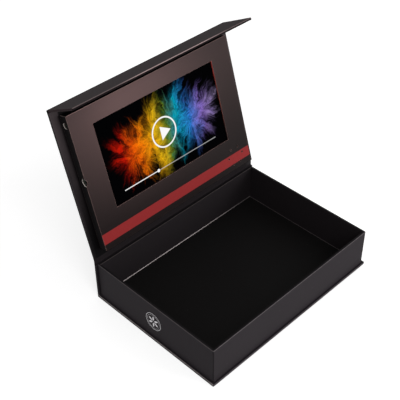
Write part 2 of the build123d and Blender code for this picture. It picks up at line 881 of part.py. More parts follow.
# ---------------------------------------------------------------- assembly
def case_nodes():
    """Nodes of the box: base, spine and tray."""
    base_board, spine_board = make_base_board(), make_spine_board()
    half = magnet_spread / 2
    return {
        "base_board": base_board,
        "spine_board": spine_board,
        "case_wrap": make_case_wrap(base_board, spine_board),
        "tray_board": make_tray_board(),
        "corner_stays": make_corner_stays(),
        "tray_wrap": make_tray_wrap(),
        "floor_liner": make_floor_liner(),
        "tray_magnets": Compound([tray_magnet(x, magnet_z, magnet_radius).solid() for x in (-half, half)]),
        "trigger_magnet": tray_magnet(-tray_half + trigger_inset, rim - trigger_drop, trigger_radius),
    }


def lid_nodes():
    """Nodes of the lid, in the lid's frame."""
    lid_board, lid_wrap = wrapped_sheet(case_width, hinge_gutter, fold_at - fold_gutter, False)
    wall, face = wall_cuts(), face_cuts()
    return {
        "lid_board": lid_board,
        "lid_wrap": lid_wrap,
        "lid_liner": make_lid_liner(),
        "flap_hinge_paper": make_flap_hinge(),
        "pod_frame": make_pod_frame(wall),
        "pod_wrap": make_pod_wrap(wall),
        "face_card": make_face_card(face),
        "face_print": make_face_print(face),
        "display_pan": make_display_pan(),
        "light_guide": make_light_guide(),
        "display_glass": make_display_glass(),
        "display_gasket": make_display_gasket(),
        "display_pads": make_display_pads(),
        "display_flex": make_display_flex(),
        "speaker_basket": make_speaker_basket(),
        "speaker_magnet": make_speaker_magnet(),
        "speaker_cone": make_speaker_cone(),
        "speaker_gasket": make_speaker_gasket(),
        "speaker_pad": make_speaker_pad(),
        "speaker_wires": make_speaker_wires(),
        "side_board": make_side_board(),
        "side_foam": make_side_foam(),
        "side_flex": make_side_flex(),
        "usb_socket": make_usb_socket(),
        "usb_tongue": make_usb_tongue(),
        "switch_housing": make_switch_housing(),
        "power_slider": make_power_slider(),
        "closing_sensor": make_closing_sensor(),
        "main_board": make_main_board(),
        "main_pads": make_main_pads(),
        "main_chips": make_main_chips(),
        "connectors": make_connectors(),
        "battery": make_battery(),
        "battery_board": make_battery_board(),
        "battery_tape": make_battery_tape(),
        "battery_wires": make_battery_wires(),
    }


def flap_nodes():
    """Nodes of the flap, in the flap's frame."""
    core, wrap = wrapped_sheet(case_width, fold_gutter, flap_length, True)
    return {
        "flap_board": make_flap_board(core),
        "flap_wrap": wrap,
        "flap_liner": make_flap_liner(),
        "flap_magnets": Compound([magnet.solid() for magnet in flap_magnets()]),
    }


os.makedirs("parts", exist_ok=True)
nodes = case_nodes()
nodes["lid_hinge_paper"] = make_lid_hinge()
nodes.update({name: lid_place * shape for name, shape in lid_nodes().items()})
nodes.update({name: flap_place * shape for name, shape in flap_nodes().items()})
for name, shape in nodes.items():
    export_step(shape, f"parts/{name}.step")
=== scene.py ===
import json
import logging
import math
from dataclasses import dataclass, field, replace
from enum import Enum
from typing import Callable

import bpy
import numpy as np
from mathutils import Matrix, Vector

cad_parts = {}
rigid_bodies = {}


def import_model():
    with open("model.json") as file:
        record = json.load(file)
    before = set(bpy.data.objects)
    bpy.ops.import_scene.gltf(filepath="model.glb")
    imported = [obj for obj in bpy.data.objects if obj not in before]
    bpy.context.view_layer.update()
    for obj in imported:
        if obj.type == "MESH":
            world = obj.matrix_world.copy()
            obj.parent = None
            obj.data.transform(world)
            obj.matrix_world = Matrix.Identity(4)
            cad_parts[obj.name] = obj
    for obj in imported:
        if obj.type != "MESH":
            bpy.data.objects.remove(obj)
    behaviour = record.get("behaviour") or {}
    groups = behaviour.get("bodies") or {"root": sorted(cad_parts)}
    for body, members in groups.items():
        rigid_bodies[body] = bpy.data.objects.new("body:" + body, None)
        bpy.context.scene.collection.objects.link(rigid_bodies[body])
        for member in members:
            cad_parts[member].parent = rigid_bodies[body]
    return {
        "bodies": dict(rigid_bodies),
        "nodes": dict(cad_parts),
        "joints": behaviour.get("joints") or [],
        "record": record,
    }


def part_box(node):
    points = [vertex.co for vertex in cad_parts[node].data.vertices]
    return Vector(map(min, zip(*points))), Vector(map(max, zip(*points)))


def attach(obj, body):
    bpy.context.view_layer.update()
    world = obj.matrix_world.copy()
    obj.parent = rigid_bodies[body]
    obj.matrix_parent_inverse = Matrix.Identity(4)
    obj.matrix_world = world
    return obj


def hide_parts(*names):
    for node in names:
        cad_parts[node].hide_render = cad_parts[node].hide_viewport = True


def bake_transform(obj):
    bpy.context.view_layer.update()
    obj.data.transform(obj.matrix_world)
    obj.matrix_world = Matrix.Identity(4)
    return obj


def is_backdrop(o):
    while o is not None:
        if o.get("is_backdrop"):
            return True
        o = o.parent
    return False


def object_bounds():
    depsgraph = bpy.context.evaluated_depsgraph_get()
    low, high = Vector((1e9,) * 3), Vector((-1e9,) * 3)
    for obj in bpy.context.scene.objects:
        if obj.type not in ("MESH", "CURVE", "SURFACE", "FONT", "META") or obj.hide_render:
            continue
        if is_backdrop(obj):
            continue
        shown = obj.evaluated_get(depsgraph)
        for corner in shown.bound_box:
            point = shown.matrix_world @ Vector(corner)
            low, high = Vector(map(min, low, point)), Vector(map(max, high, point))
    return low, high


# Looks of a book-style magnetic presentation box with a video screen in its lid.
# Lengths are in millimetres until they go into a mesh.  The case stands in the row frame, and the
# lid and the flap are each described in a leaf's own frame: across, along and inwards.

log = logging.getLogger("presentation_box")

Colour = tuple[float, float, float, float]
Span = tuple[float, float]

MM = 0.001
FAR = 300.0  # farther than any leaf reaches
PAST = 1.0  # how far a patch runs on past an outer face
EVERYWHERE: Span = (-1e4, 1e4)
WHITE: Colour = (1.0, 1.0, 1.0, 1.0)


def srgb(red: int, green: int, blue: int) -> Colour:
    """Turn a display colour of 0 to 255 into the linear colour that a shader takes.

    Args:
        red: Red of the display colour.
        green: Green of the display colour.
        blue: Blue of the display colour.

    Returns:
        The linear colour, opaque.
    """
    channels = [value / 255 for value in (red, green, blue)]
    linear = [c / 12.92 if c <= 0.04045 else ((c + 0.055) / 1.055) ** 2.4 for c in channels]
    return (linear[0], linear[1], linear[2], 1.0)


# ---------------------------------------------------------------- places
@dataclass(frozen=True)
class Leaf:
    """Frame of a flat leaf that swings on a line along X.

    Attributes:
        origin: A point of the hinge line, in metres.
        along: Unit vector up the leaf, away from its hinge line.
        inward: Unit vector from the leaf's outer face to its inner face.
    """

    origin: Vector
    along: Vector
    inward: Vector

    @staticmethod
    def at(origin: Vector, lean: float) -> "Leaf":
        """Make the leaf that leans back by an angle from upright.

        Args:
            origin: A point of the hinge line, in metres.
            lean: Angle from upright towards the back, in degrees.

        Returns:
            The leaf.
        """
        angle = math.radians(lean)
        along = Vector((0, math.sin(angle), math.cos(angle)))
        return Leaf(origin, along, Vector((0, -math.cos(angle), math.sin(angle))))

    def axes(self) -> np.ndarray:
        """Give the axes across, along and inwards, one to a row."""
        return np.array([(1, 0, 0), self.along, self.inward])

    def points(self, across: np.ndarray, along: np.ndarray, inwards: np.ndarray) -> np.ndarray:
        """Place local points in the row frame: origin + across X + along A + inwards N.

        Args:
            across: Places along X, in millimetres.
            along: Places up the leaf, in millimetres.
            inwards: Places from the outer face, in millimetres.

        Returns:
            The points in metres, three numbers to a row.
        """
        across, along, inwards = np.broadcast_arrays(across, along, inwards)
        local = np.stack([across, along, inwards], axis=-1) * MM
        return np.array(self.origin) + local @ self.axes()

    def corners(self, node: bpy.types.Object) -> np.ndarray:
        """Give a node's vertices as across, along and inwards, in millimetres.

        Args:
            node: The node's object.

        Returns:
            The vertices, three numbers to a row.
        """
        places = np.empty(len(node.data.vertices) * 3)
        node.data.vertices.foreach_get("co", places)
        return (places.reshape(-1, 3) - np.array(self.origin)) @ self.axes().T / MM

    def span(self, node: bpy.types.Object) -> tuple[np.ndarray, np.ndarray]:
        """Find a node's lowest and highest across, along and inwards, in millimetres."""
        corners = self.corners(node)
        return corners.min(axis=0), corners.max(axis=0)


@dataclass
class Box:
    """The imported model, with the places that the pieces share.

    Attributes:
        frame: The loaded frame, with the nodes by name.
        lid: The lid's leaf.
        flap: The flap's leaf.
    """

    frame: dict
    lid: Leaf = field(init=False)
    flap: Leaf = field(init=False)

    def __post_init__(self) -> None:
        """Work out the leaves from the joints."""
        joints = {joint["name"]: joint for joint in self.frame["record"]["behaviour"]["joints"]}
        hinge, fold = joints["lid_hinge"], joints["flap_hinge"]
        lean = hinge["range_deg"][1] - 90
        self.lid = Leaf.at(Vector(hinge["pos_m"]), lean)
        self.flap = Leaf.at(Vector(fold["pos_m"]), lean + fold["range_deg"][0])

    def node(self, name: str) -> bpy.types.Object:
        """Give a node's object."""
        return self.frame["nodes"][name]

    def low(self, name: str) -> Vector:
        """Give a node's lowest corner in millimetres."""
        return Vector(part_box(name)[0]) / MM

    def high(self, name: str) -> Vector:
        """Give a node's highest corner in millimetres."""
        return Vector(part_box(name)[1]) / MM

    def window(self) -> tuple[Span, Span]:
        """Find the screen's window: the print's corners that lie over the glass.

        Returns:
            Where it runs across the lid, and where along it.
        """
        corners = self.lid.corners(self.node("face_print"))[:, :2]
        low, high = self.lid.span(self.node("display_glass"))
        inside = corners[((corners > low[:2]) & (corners < high[:2])).all(axis=1)]
        (left, foot), (right, top) = inside.min(axis=0), inside.max(axis=0)
        return (left, right), (foot, top)


# ---------------------------------------------------------------- meshes
def grid_faces(rows: int, columns: int, wrap_rows: bool = False,
               wrap_columns: bool = False) -> np.ndarray:
    """Number the quads of a grid whose vertices run row by row.

    Args:
        rows: Number of vertex rows.
        columns: Number of vertices in a row.
        wrap_rows: Join the last row to the first.
        wrap_columns: Join the last column to the first.

    Returns:
        An array of four vertex numbers for each quad.
    """
    row = np.arange(rows if wrap_rows else rows - 1)[:, None]
    column = np.arange(columns if wrap_columns else columns - 1)[None, :]
    next_row, next_column = (row + 1) % rows, (column + 1) % columns
    corners = [row * columns + column, row * columns + next_column,
               next_row * columns + next_column, next_row * columns + column]
    return np.stack(corners, axis=-1).reshape(-1, 4)


def mesh_object(name: str, points: np.ndarray, faces: list, smooth: bool = True) -> bpy.types.Object:
    """Make an object from points in metres and faces.

    Args:
        name: The piece's name.
        points: Vertex places, three to a row.
        faces: Vertex numbers of each face.
        smooth: Shade the faces smoothly.

    Returns:
        The new object, linked to the scene.
    """
    mesh = bpy.data.meshes.new(name)
    mesh.from_pydata(points.reshape(-1, 3).tolist(), [], [list(map(int, face)) for face in faces])
    mesh.polygons.foreach_set("use_smooth", np.full(len(mesh.polygons), smooth))
    mesh.update()
    piece = bpy.data.objects.new(name, mesh)
    bpy.context.scene.collection.objects.link(piece)
    return piece


def outwards(piece: bpy.types.Object) -> None:
    """Turn a closed piece's normals outwards, from the sign of its volume.

    The volume is a sixth of the sum of a . (b x c) over the triangles.

    Args:
        piece: The piece, whose faces all turn the same way.
    """
    mesh = piece.data
    mesh.calc_loop_triangles()
    corners = np.empty(len(mesh.loop_triangles) * 3, dtype=np.int32)
    mesh.loop_triangles.foreach_get("vertices", corners)
    places = np.empty(len(mesh.vertices) * 3)
    mesh.vertices.foreach_get("co", places)
    a, b, c = places.reshape(-1, 3)[corners.reshape(-1, 3)].transpose(1, 0, 2)
    if np.einsum("ij,ij->i", a, np.cross(b, c)).sum() < 0:
        mesh.flip_normals()


def carried_profile(name: str, section: np.ndarray, across: np.ndarray) -> bpy.types.Object:
    """Carry a closed section along X and close both ends.

    The vertex of row i and column j is the section's point j moved to across i.

    Args:
        name: The piece's name.
        section: Points of the closed section, Y and Z in metres, in order.
        across: The X of each row, in millimetres.

    Returns:
        The new object, with its normals outwards.
    """
    rows, columns = len(across), len(section)
    points = np.empty((rows, columns, 3))
    points[:, :, 0] = across[:, None] * MM
    points[:, :, 1:] = section[None, :, :]
    faces = grid_faces(rows, columns, wrap_columns=True).tolist()
    faces.append(list(range(columns - 1, -1, -1)))
    faces.append(list(range((rows - 1) * columns, rows * columns)))
    piece = mesh_object(name, points, faces)
    outwards(piece)
    return piece


def rounded_path(corners: np.ndarray, reaches: np.ndarray, steps: int) -> np.ndarray:
    """Replace each inner corner of an open line by points of a quadratic curve.

    A corner's points are (1-t)^2 a + 2t(1-t) c + t^2 b, where a and b lie at the corner's reach
    along its two runs and c is the corner.

    Args:
        corners: The line's points, two numbers to a row.
        reaches: Reach of the curve from each inner corner, in the same unit.
        steps: Points on each curve.

    Returns:
        The line's points in order.
    """
    t = np.linspace(0, 1, steps)[:, None]
    parts = [corners[:1]]
    for before, corner, after, reach in zip(corners[:-2], corners[1:-1], corners[2:], reaches):
        start = corner + (before - corner) * min(0.5, reach / np.linalg.norm(before - corner))
        end = corner + (after - corner) * min(0.5, reach / np.linalg.norm(after - corner))
        parts.append((1 - t) ** 2 * start + 2 * t * (1 - t) * corner + t ** 2 * end)
    parts.append(corners[-1:])
    return np.concatenate(parts)


# ---------------------------------------------------------------- shader trees
class Tree:
    """Short words for building one node tree."""

    def __init__(self, tree: bpy.types.NodeTree) -> None:
        """Keep the tree."""
        self.tree = tree

    def add(self, kind: str, inputs: dict | None = None, **settings: object) -> bpy.types.Node:
        """Add a node, set its properties, and link or set its inputs.

        Args:
            kind: The node's type name.
            inputs: Input name or number to a socket or a plain value.
            settings: The node's own properties.

        Returns:
            The node.
        """
        node = self.tree.nodes.new(kind)
        for key, value in settings.items():
            setattr(node, key, value)
        for key, value in (inputs or {}).items():
            self.put(node.inputs[key], value)
        return node

    def put(self, target: bpy.types.NodeSocket, value: object) -> None:
        """Link a socket to an input, or set the input's plain value.

        Args:
            target: The input.
            value: A socket or a plain value.
        """
        if isinstance(value, bpy.types.NodeSocket):
            self.tree.links.new(value, target)
        else:
            target.default_value = value

    def math(self, operation: str, *values: object, clamp: bool = False) -> bpy.types.NodeSocket:
        """Add a Math node and give its result."""
        node = self.add("ShaderNodeMath", dict(enumerate(values)), operation=operation, use_clamp=clamp)
        return node.outputs[0]

    def plus(self, first: object, second: object) -> bpy.types.NodeSocket:
        """Add two numbers."""
        return self.math("ADD", first, second)

    def minus(self, first: object, second: object) -> bpy.types.NodeSocket:
        """Take the second number from the first."""
        return self.math("SUBTRACT", first, second)

    def times(self, *values: object) -> bpy.types.NodeSocket:
        """Multiply numbers, from the first to the last."""
        product = self.math("MULTIPLY", *values[:2])
        return self.times(product, *values[2:]) if len(values) > 2 else product

    def less(self, value: object) -> bpy.types.NodeSocket:
        """Give 1 less a number."""
        return self.minus(1.0, value)

    def size(self, value: object) -> bpy.types.NodeSocket:
        """Give a number without its sign."""
        return self.math("ABSOLUTE", value)

    def about(self, middle: object, value: object, swing: object) -> bpy.types.NodeSocket:
        """Swing about a middle: middle + swing (value - 0.5)."""
        return self.plus(middle, self.times(self.minus(value, 0.5), swing))

    def distance(self, x: object, y: object) -> bpy.types.NodeSocket:
        """Give the square root of the sum of two squares."""
        return self.math("SQRT", self.plus(self.math("POWER", x, 2.0), self.math("POWER", y, 2.0)))

    def vector(self, operation: str, *values: object) -> bpy.types.NodeSocket:
        """Add a Vector Math node.

        Args:
            operation: The node's operation.
            values: Its inputs in order, and for SCALE the vector and the number.

        Returns:
            The result, a vector or a number.
        """
        node = self.add("ShaderNodeVectorMath", operation=operation)
        keys = (0, "Scale") if operation == "SCALE" else range(len(values))
        for key, value in zip(keys, values):
            self.put(node.inputs[key], value)
        number = operation in ("DOT_PRODUCT", "LENGTH", "DISTANCE")
        return node.outputs["Value" if number else "Vector"]

    def mix(self, factor: object, first: object, second: object,
            blend: str = "MIX") -> bpy.types.NodeSocket:
        """Mix two colours.

        Args:
            factor: How much of the second colour.
            first: The first colour.
            second: The second colour.
            blend: The way of mixing.

        Returns:
            The mixed colour.
        """
        node = self.add("ShaderNodeMix", data_type="RGBA", blend_type=blend)
        for number, value in ((0, factor), (6, first), (7, second)):
            self.put(node.inputs[number], value)
        return node.outputs[2]

    def shaded(self, colour: object, shade: object) -> bpy.types.NodeSocket:
        """Multiply a colour by a number."""
        return self.mix(1.0, colour, self.join(shade, shade, shade), "MULTIPLY")

    def between(self, value: object, low: object, high: object) -> bpy.types.NodeSocket:
        """Rise smoothly from 0 at low to 1 at high.

        Args:
            value: The number that rises.
            low: Where the result leaves 0.
            high: Where the result reaches 1.

        Returns:
            The result.
        """
        node = self.add("ShaderNodeMapRange", interpolation_type="SMOOTHSTEP")
        for name, item in (("Value", value), ("From Min", low), ("From Max", high)):
            self.put(node.inputs[name], item)
        return node.outputs["Result"]

    def band(self, value: object, low: float, high: float, soft: float) -> bpy.types.NodeSocket:
        """Give 1 from low to high and 0 outside, with borders that are soft to each side."""
        rise = self.between(value, low - soft, low + soft)
        return self.minus(rise, self.between(value, high - soft, high + soft))

    def noise(self, place: object, scale: object, detail: float,
              roughness: float = 0.55) -> bpy.types.NodeSocket:
        """Add a noise.

        Args:
            place: The place that it is read at.
            scale: Its waves to a unit of the place.
            detail: Number of finer noises on it.
            roughness: Strength of each finer noise.

        Returns:
            A number of about 0 to 1.
        """
        inputs = {"Vector": place, "Scale": scale, "Detail": detail, "Roughness": roughness}
        return self.add("ShaderNodeTexNoise", inputs).outputs["Fac"]

    def split(self, vector: object) -> tuple:
        """Give a vector's three numbers."""
        return tuple(self.add("ShaderNodeSeparateXYZ", {0: vector}).outputs)

    def join(self, x: object, y: object, z: object) -> bpy.types.NodeSocket:
        """Make a vector from three numbers."""
        return self.add("ShaderNodeCombineXYZ", {0: x, 1: y, 2: z}).outputs[0]

    def group(self, build: Callable[[], bpy.types.NodeTree], **inputs: object) -> dict:
        """Place a shared group.

        Args:
            build: The function that gives the group.
            inputs: Its inputs by name.

        Returns:
            Its outputs by name.
        """
        node = self.add("ShaderNodeGroup", node_tree=build())
        for key, value in inputs.items():
            self.put(node.inputs[key], value)
        return {socket.name: socket for socket in node.outputs}


class Shape(Enum):
    """Kind of value that a group's socket carries."""

    NUMBER = "NodeSocketFloat"
    VECTOR = "NodeSocketVector"


def new_group(name: str, inputs: dict, outputs: dict) -> tuple[bpy.types.NodeTree, Tree, dict, Callable]:
    """Start a shared group with named sockets.

    Args:
        name: The group's name.
        inputs: Input name to its kind and value.
        outputs: Output name to its kind.

    Returns:
        The group, its tree, its inputs by name, and a function that links an output by name.
    """
    group = bpy.data.node_groups.new(name, "ShaderNodeTree")
    for key, (shape, value) in inputs.items():
        socket = group.interface.new_socket(key, in_out="INPUT", socket_type=shape.value)
        socket.default_value = value
    for key, shape in outputs.items():
        group.interface.new_socket(key, in_out="OUTPUT", socket_type=shape.value)
    tree = Tree(group)
    entry, leave = tree.add("NodeGroupInput"), tree.add("NodeGroupOutput")
    given = {socket.name: socket for socket in entry.outputs if socket.name}
    return group, tree, given, lambda key, socket: tree.put(leave.inputs[key], socket)


def shared(build: Callable[[], bpy.types.NodeTree]) -> Callable[[], bpy.types.NodeTree]:
    """Build a group on its first use and give the same one after that.

    Args:
        build: The function that builds the group.

    Returns:
        The function that gives it.
    """
    kept: list[bpy.types.NodeTree] = []

    def once() -> bpy.types.NodeTree:
        """Give the kept group."""
        if not kept:
            kept.append(build())
        return kept[0]

    return once


@shared
def paper_grain() -> bpy.types.NodeTree:
    """Group: felted paper, from two stretched noises at a slant and a slow cloud.

    The felt is the mean of the two stretched noises.  Shade is 1 plus twice the contrast times what
    felt and cloud together lie over 0.5, and Height is the felt.

    Returns:
        The group.
    """
    group, tree, given, leave = new_group(
        "Paper grain",
        {"Place": (Shape.VECTOR, (0, 0, 0)), "Fibre": (Shape.NUMBER, 0.5), "Cloud": (Shape.NUMBER, 30.0),
         "Contrast": (Shape.NUMBER, 0.2)},
        {"Shade": Shape.NUMBER, "Height": Shape.NUMBER},
    )
    slants, stretch, axis, felt_share = (0.6, -0.9), (1.0, 0.22, 0.6), (0.4, 0.5, 0.8), 0.6
    fibres = []
    for angle in slants:
        turn = {"Vector": given["Place"], "Angle": angle, "Axis": axis}
        turned = tree.add("ShaderNodeVectorRotate", turn)
        stretched = tree.vector("MULTIPLY", turned.outputs[0], stretch)
        fibres.append(tree.noise(stretched, tree.math("DIVIDE", 1.0, given["Fibre"]), 2.0))
    felt = tree.times(tree.plus(*fibres), 0.5)
    cloud = tree.noise(given["Place"], tree.math("DIVIDE", 1.0, given["Cloud"]), 2.0)
    both = tree.plus(tree.times(felt, felt_share), tree.times(cloud, 1 - felt_share))
    leave("Shade", tree.plus(tree.times(tree.minus(both, 0.5), given["Contrast"], 2.0), 1.0))
    leave("Height", felt)
    return group


@shared
def edge_wear() -> bpy.types.NodeTree:
    """Group: mask of sharp edges, broken up by noise.

    The mask rises with 1 less the cosine between the face's normal and the normal rounded over a
    radius, and a noise leaves at least 0.3 of it.

    Returns:
        The group.
    """
    group, tree, given, leave = new_group(
        "Edge wear",
        {"Place": (Shape.VECTOR, (0, 0, 0)), "Radius": (Shape.NUMBER, 0.0008),
         "Patch": (Shape.NUMBER, 6.0), "Amount": (Shape.NUMBER, 1.0)},
        {"Mask": Shape.NUMBER},
    )
    turn_span, patch_span, least = (0.01, 0.13), (0.35, 0.65), 0.3
    rounded = tree.add("ShaderNodeBevel", {"Radius": given["Radius"]}, samples=8).outputs[0]
    flat = tree.add("ShaderNodeNewGeometry").outputs["True Normal"]
    turn = tree.less(tree.vector("DOT_PRODUCT", rounded, flat))
    cloud = tree.noise(given["Place"], tree.math("DIVIDE", 1.0, given["Patch"]), 4.0)
    patch = tree.between(cloud, *patch_span)
    worn = tree.times(tree.between(turn, *turn_span), tree.plus(tree.times(patch, 1 - least), least))
    leave("Mask", tree.math("MULTIPLY", worn, given["Amount"], clamp=True))
    return group


@shared
def leaf_place() -> bpy.types.NodeTree:
    """Group: a place in a leaf's frame, in millimetres.

    Each number is the dot product of the place, counted from the origin, with one axis.

    Returns:
        The group.
    """
    group, tree, given, leave = new_group(
        "Leaf place",
        {"Object": (Shape.VECTOR, (0, 0, 0)), "Origin": (Shape.VECTOR, (0, 0, 0)),
         "Along": (Shape.VECTOR, (0, 0, 1)), "Inward": (Shape.VECTOR, (0, -1, 0))},
        {"Place": Shape.VECTOR},
    )
    local = tree.vector("SCALE", tree.vector("SUBTRACT", given["Object"], given["Origin"]), 1 / MM)
    axes = (1, 0, 0), given["Along"], given["Inward"]
    leave("Place", tree.join(*(tree.vector("DOT_PRODUCT", local, axis) for axis in axes)))
    return group


@shared
def dust() -> bpy.types.NodeTree:
    """Group: mask of sparse small specks, where a cell's centre is near and its random value is high.

    Returns:
        The group.
    """
    group, tree, given, leave = new_group(
        "Dust",
        {"Place": (Shape.VECTOR, (0, 0, 0)), "Spacing": (Shape.NUMBER, 3.0),
         "Amount": (Shape.NUMBER, 0.3)},
        {"Mask": Shape.NUMBER},
    )
    size_span, chosen_span = (0.02, 0.09), (0.72, 0.78)
    scale = tree.math("DIVIDE", 1.0, given["Spacing"])
    cells = tree.add("ShaderNodeTexVoronoi", {"Vector": given["Place"], "Scale": scale})
    near = tree.less(tree.between(cells.outputs["Distance"], *size_span))
    chosen = tree.between(tree.split(cells.outputs["Color"])[0], *chosen_span)
    leave("Mask", tree.times(near, chosen, given["Amount"]))
    return group


@shared
def colour_burst() -> bpy.types.NodeTree:
    """Group: brightness of coloured powder thrown out from a point.

    The reach of each ray is a noise of its direction alone, coarse and fine together.  The light
    falls from 1 to 0 over the last part of the reach, and a powdery noise thins it.

    Returns:
        The group.
    """
    group, tree, given, leave = new_group(
        "Colour burst",
        {"X": (Shape.NUMBER, 0.0), "Y": (Shape.NUMBER, 0.0), "Reach": (Shape.NUMBER, 1.0),
         "Soft": (Shape.NUMBER, 0.5), "Seed": (Shape.NUMBER, 0.0)},
        {"Light": Shape.NUMBER},
    )
    coarse_share, fine_share, least = 1.1, 0.9, 0.25
    flat = tree.join(given["X"], given["Y"], 0.0)
    swirl = {"Vector": flat, "Scale": 1.9, "Detail": 4.0, "Roughness": 0.6}
    drift = tree.add("ShaderNodeTexNoise", swirl).outputs["Color"]
    pushed = tree.vector("SCALE", tree.vector("SUBTRACT", drift, (0.5, 0.5, 0.5)), 0.55)
    place = tree.vector("MULTIPLY", tree.vector("ADD", flat, pushed), (1.0, 1.0, 0.0))
    heading = tree.vector("NORMALIZE", place)
    seeded = tree.vector("ADD", heading, tree.join(0.0, 0.0, given["Seed"]))
    coarse, fine = tree.noise(seeded, 2.6, 1.0), tree.noise(seeded, 11.0, 3.0, 0.7)
    ray = tree.plus(tree.times(coarse, coarse_share), tree.times(fine, fine_share))
    reach = tree.times(tree.minus(ray, least), given["Reach"])
    depth = tree.math("DIVIDE", tree.minus(reach, tree.vector("LENGTH", place)), given["Soft"])
    body = tree.math("POWER", tree.between(depth, 0.0, 1.0), 1.4)
    drawn_out = tree.vector("ADD", tree.vector("SCALE", heading, 7.0), tree.vector("SCALE", place, 1.6))
    streaks = tree.between(tree.noise(drawn_out, 2.4, 5.0, 0.68), 0.2, 0.62)
    grains = tree.noise(tree.vector("ADD", place, (3.0, 1.0, 0.0)), 5.5, 6.0, 0.7)
    powder = tree.between(grains, 0.28, 0.56)
    leave("Light", tree.times(body, tree.plus(tree.times(streaks, powder, 0.9), 0.12)))
    return group


# ---------------------------------------------------------------- finishes
class Material:
    """One material with its tree, its shader and its place in millimetres."""

    def __init__(self, name: str, leaf: Leaf | None = None) -> None:
        """Start a material whose pattern lies in the row frame or in a leaf's frame.

        Args:
            name: The material's name.
            leaf: The leaf that the pattern follows, or None for the row frame.
        """
        self.data = bpy.data.materials.new(name)
        self.data.use_nodes = True
        self.leaf = leaf
        self.tree = Tree(self.data.node_tree)
        self.shader = self.data.node_tree.nodes["Principled BSDF"]
        self.source = self.tree.add("ShaderNodeTexCoord")
        place = self.source.outputs["Object"]
        if leaf is None:
            self.place = self.tree.vector("SCALE", place, 1 / MM)
        else:
            self.place = self.tree.group(
                leaf_place, Object=place, Origin=tuple(leaf.origin), Along=tuple(leaf.along),
                Inward=tuple(leaf.inward),
            )["Place"]

    def set(self, **sockets: object) -> None:
        """Link or set the shader's sockets, spaces written as underscores."""
        for key, value in sockets.items():
            self.tree.put(self.shader.inputs[key.replace("_", " ")], value)

    def overlay(self, mask: object, colour: object) -> None:
        """Lay a colour over the base colour where a mask is 1."""
        covered = self.shader.inputs["Base Color"].links[0].from_socket
        self.set(Base_Color=self.tree.mix(mask, covered, colour))

    def bump(self, height: object, depth: float, strength: float = 1.0) -> None:
        """Drive the shader's normal from a height.

        Args:
            height: The height, from 0 to 1.
            depth: Its depth in millimetres.
            strength: How much of it shows.
        """
        inputs = {"Height": height, "Distance": depth * MM, "Strength": strength}
        self.set(Normal=self.tree.add("ShaderNodeBump", inputs).outputs[0])


class Finish:
    """A look that fills a material's tree."""

    def make(self, name: str, leaf: Leaf | None = None) -> bpy.types.Material:
        """Build the material.

        Args:
            name: The material's name.
            leaf: The leaf that the pattern follows, or None for the row frame.

        Returns:
            The material.
        """
        material = Material(name, leaf)
        self.fill(material)
        return material.data

    def fill(self, material: Material) -> None:
        """Fill a material's tree."""
        raise NotImplementedError


@dataclass(frozen=True)
class PaperFinish(Finish):
    """Covering paper over board: felted, matt to satin, lighter where its edges are rubbed.

    Attributes:
        colour: The paper's colour.
        worn: The colour of rubbed edges.
        rough: The paper's roughness.
        fibre: Length of its fibres in millimetres.
        wear: How strongly its edges show.
        radius: Width of the rubbed edge in millimetres.
        index: Refractive index of its surface, which sets how strongly it reflects.
        speck: The colour of dust on it.
    """

    colour: Colour
    worn: Colour
    rough: float = 0.62
    fibre: float = 0.35
    wear: float = 0.7
    radius: float = 0.9
    index: float = 1.13
    speck: Colour = srgb(150, 148, 145)

    def fill(self, material: Material) -> None:
        """Fill a material's tree.

        Args:
            material: The material.
        """
        tree, place = material.tree, material.place
        grain = tree.group(paper_grain, Place=place, Fibre=self.fibre, Cloud=45.0, Contrast=0.16)
        wear = tree.group(edge_wear, Place=place, Radius=self.radius * MM, Patch=9.0, Amount=self.wear)
        specks = tree.group(dust, Place=place, Spacing=7.0, Amount=0.12)
        rubbed = tree.mix(wear["Mask"], tree.shaded(self.colour, grain["Shade"]), self.worn)
        material.set(Base_Color=tree.mix(specks["Mask"], rubbed, self.speck),
                     Roughness=tree.about(self.rough, grain["Height"], 0.25), IOR=self.index)
        material.bump(grain["Height"], depth=0.02, strength=0.5)


@dataclass(frozen=True)
class BoardFinish(Finish):
    """Raw greyboard: compressed waste paper with flecks and faint plies.

    Attributes:
        colour: The board's colour.
        fleck: The flecks' colour.
    """

    colour: Colour = srgb(168, 156, 148)
    fleck: Colour = srgb(96, 88, 82)

    def fill(self, material: Material) -> None:
        """Fill a material's tree.

        Args:
            material: The material.
        """
        tree, place = material.tree, material.place
        grain = tree.group(paper_grain, Place=place, Fibre=0.5, Cloud=12.0, Contrast=0.35)
        flecks = tree.group(dust, Place=place, Spacing=0.9, Amount=0.8)
        colour = tree.mix(flecks["Mask"], tree.shaded(self.colour, grain["Shade"]), self.fleck)
        material.set(Base_Color=colour, Roughness=0.88)
        material.bump(grain["Height"], depth=0.06)


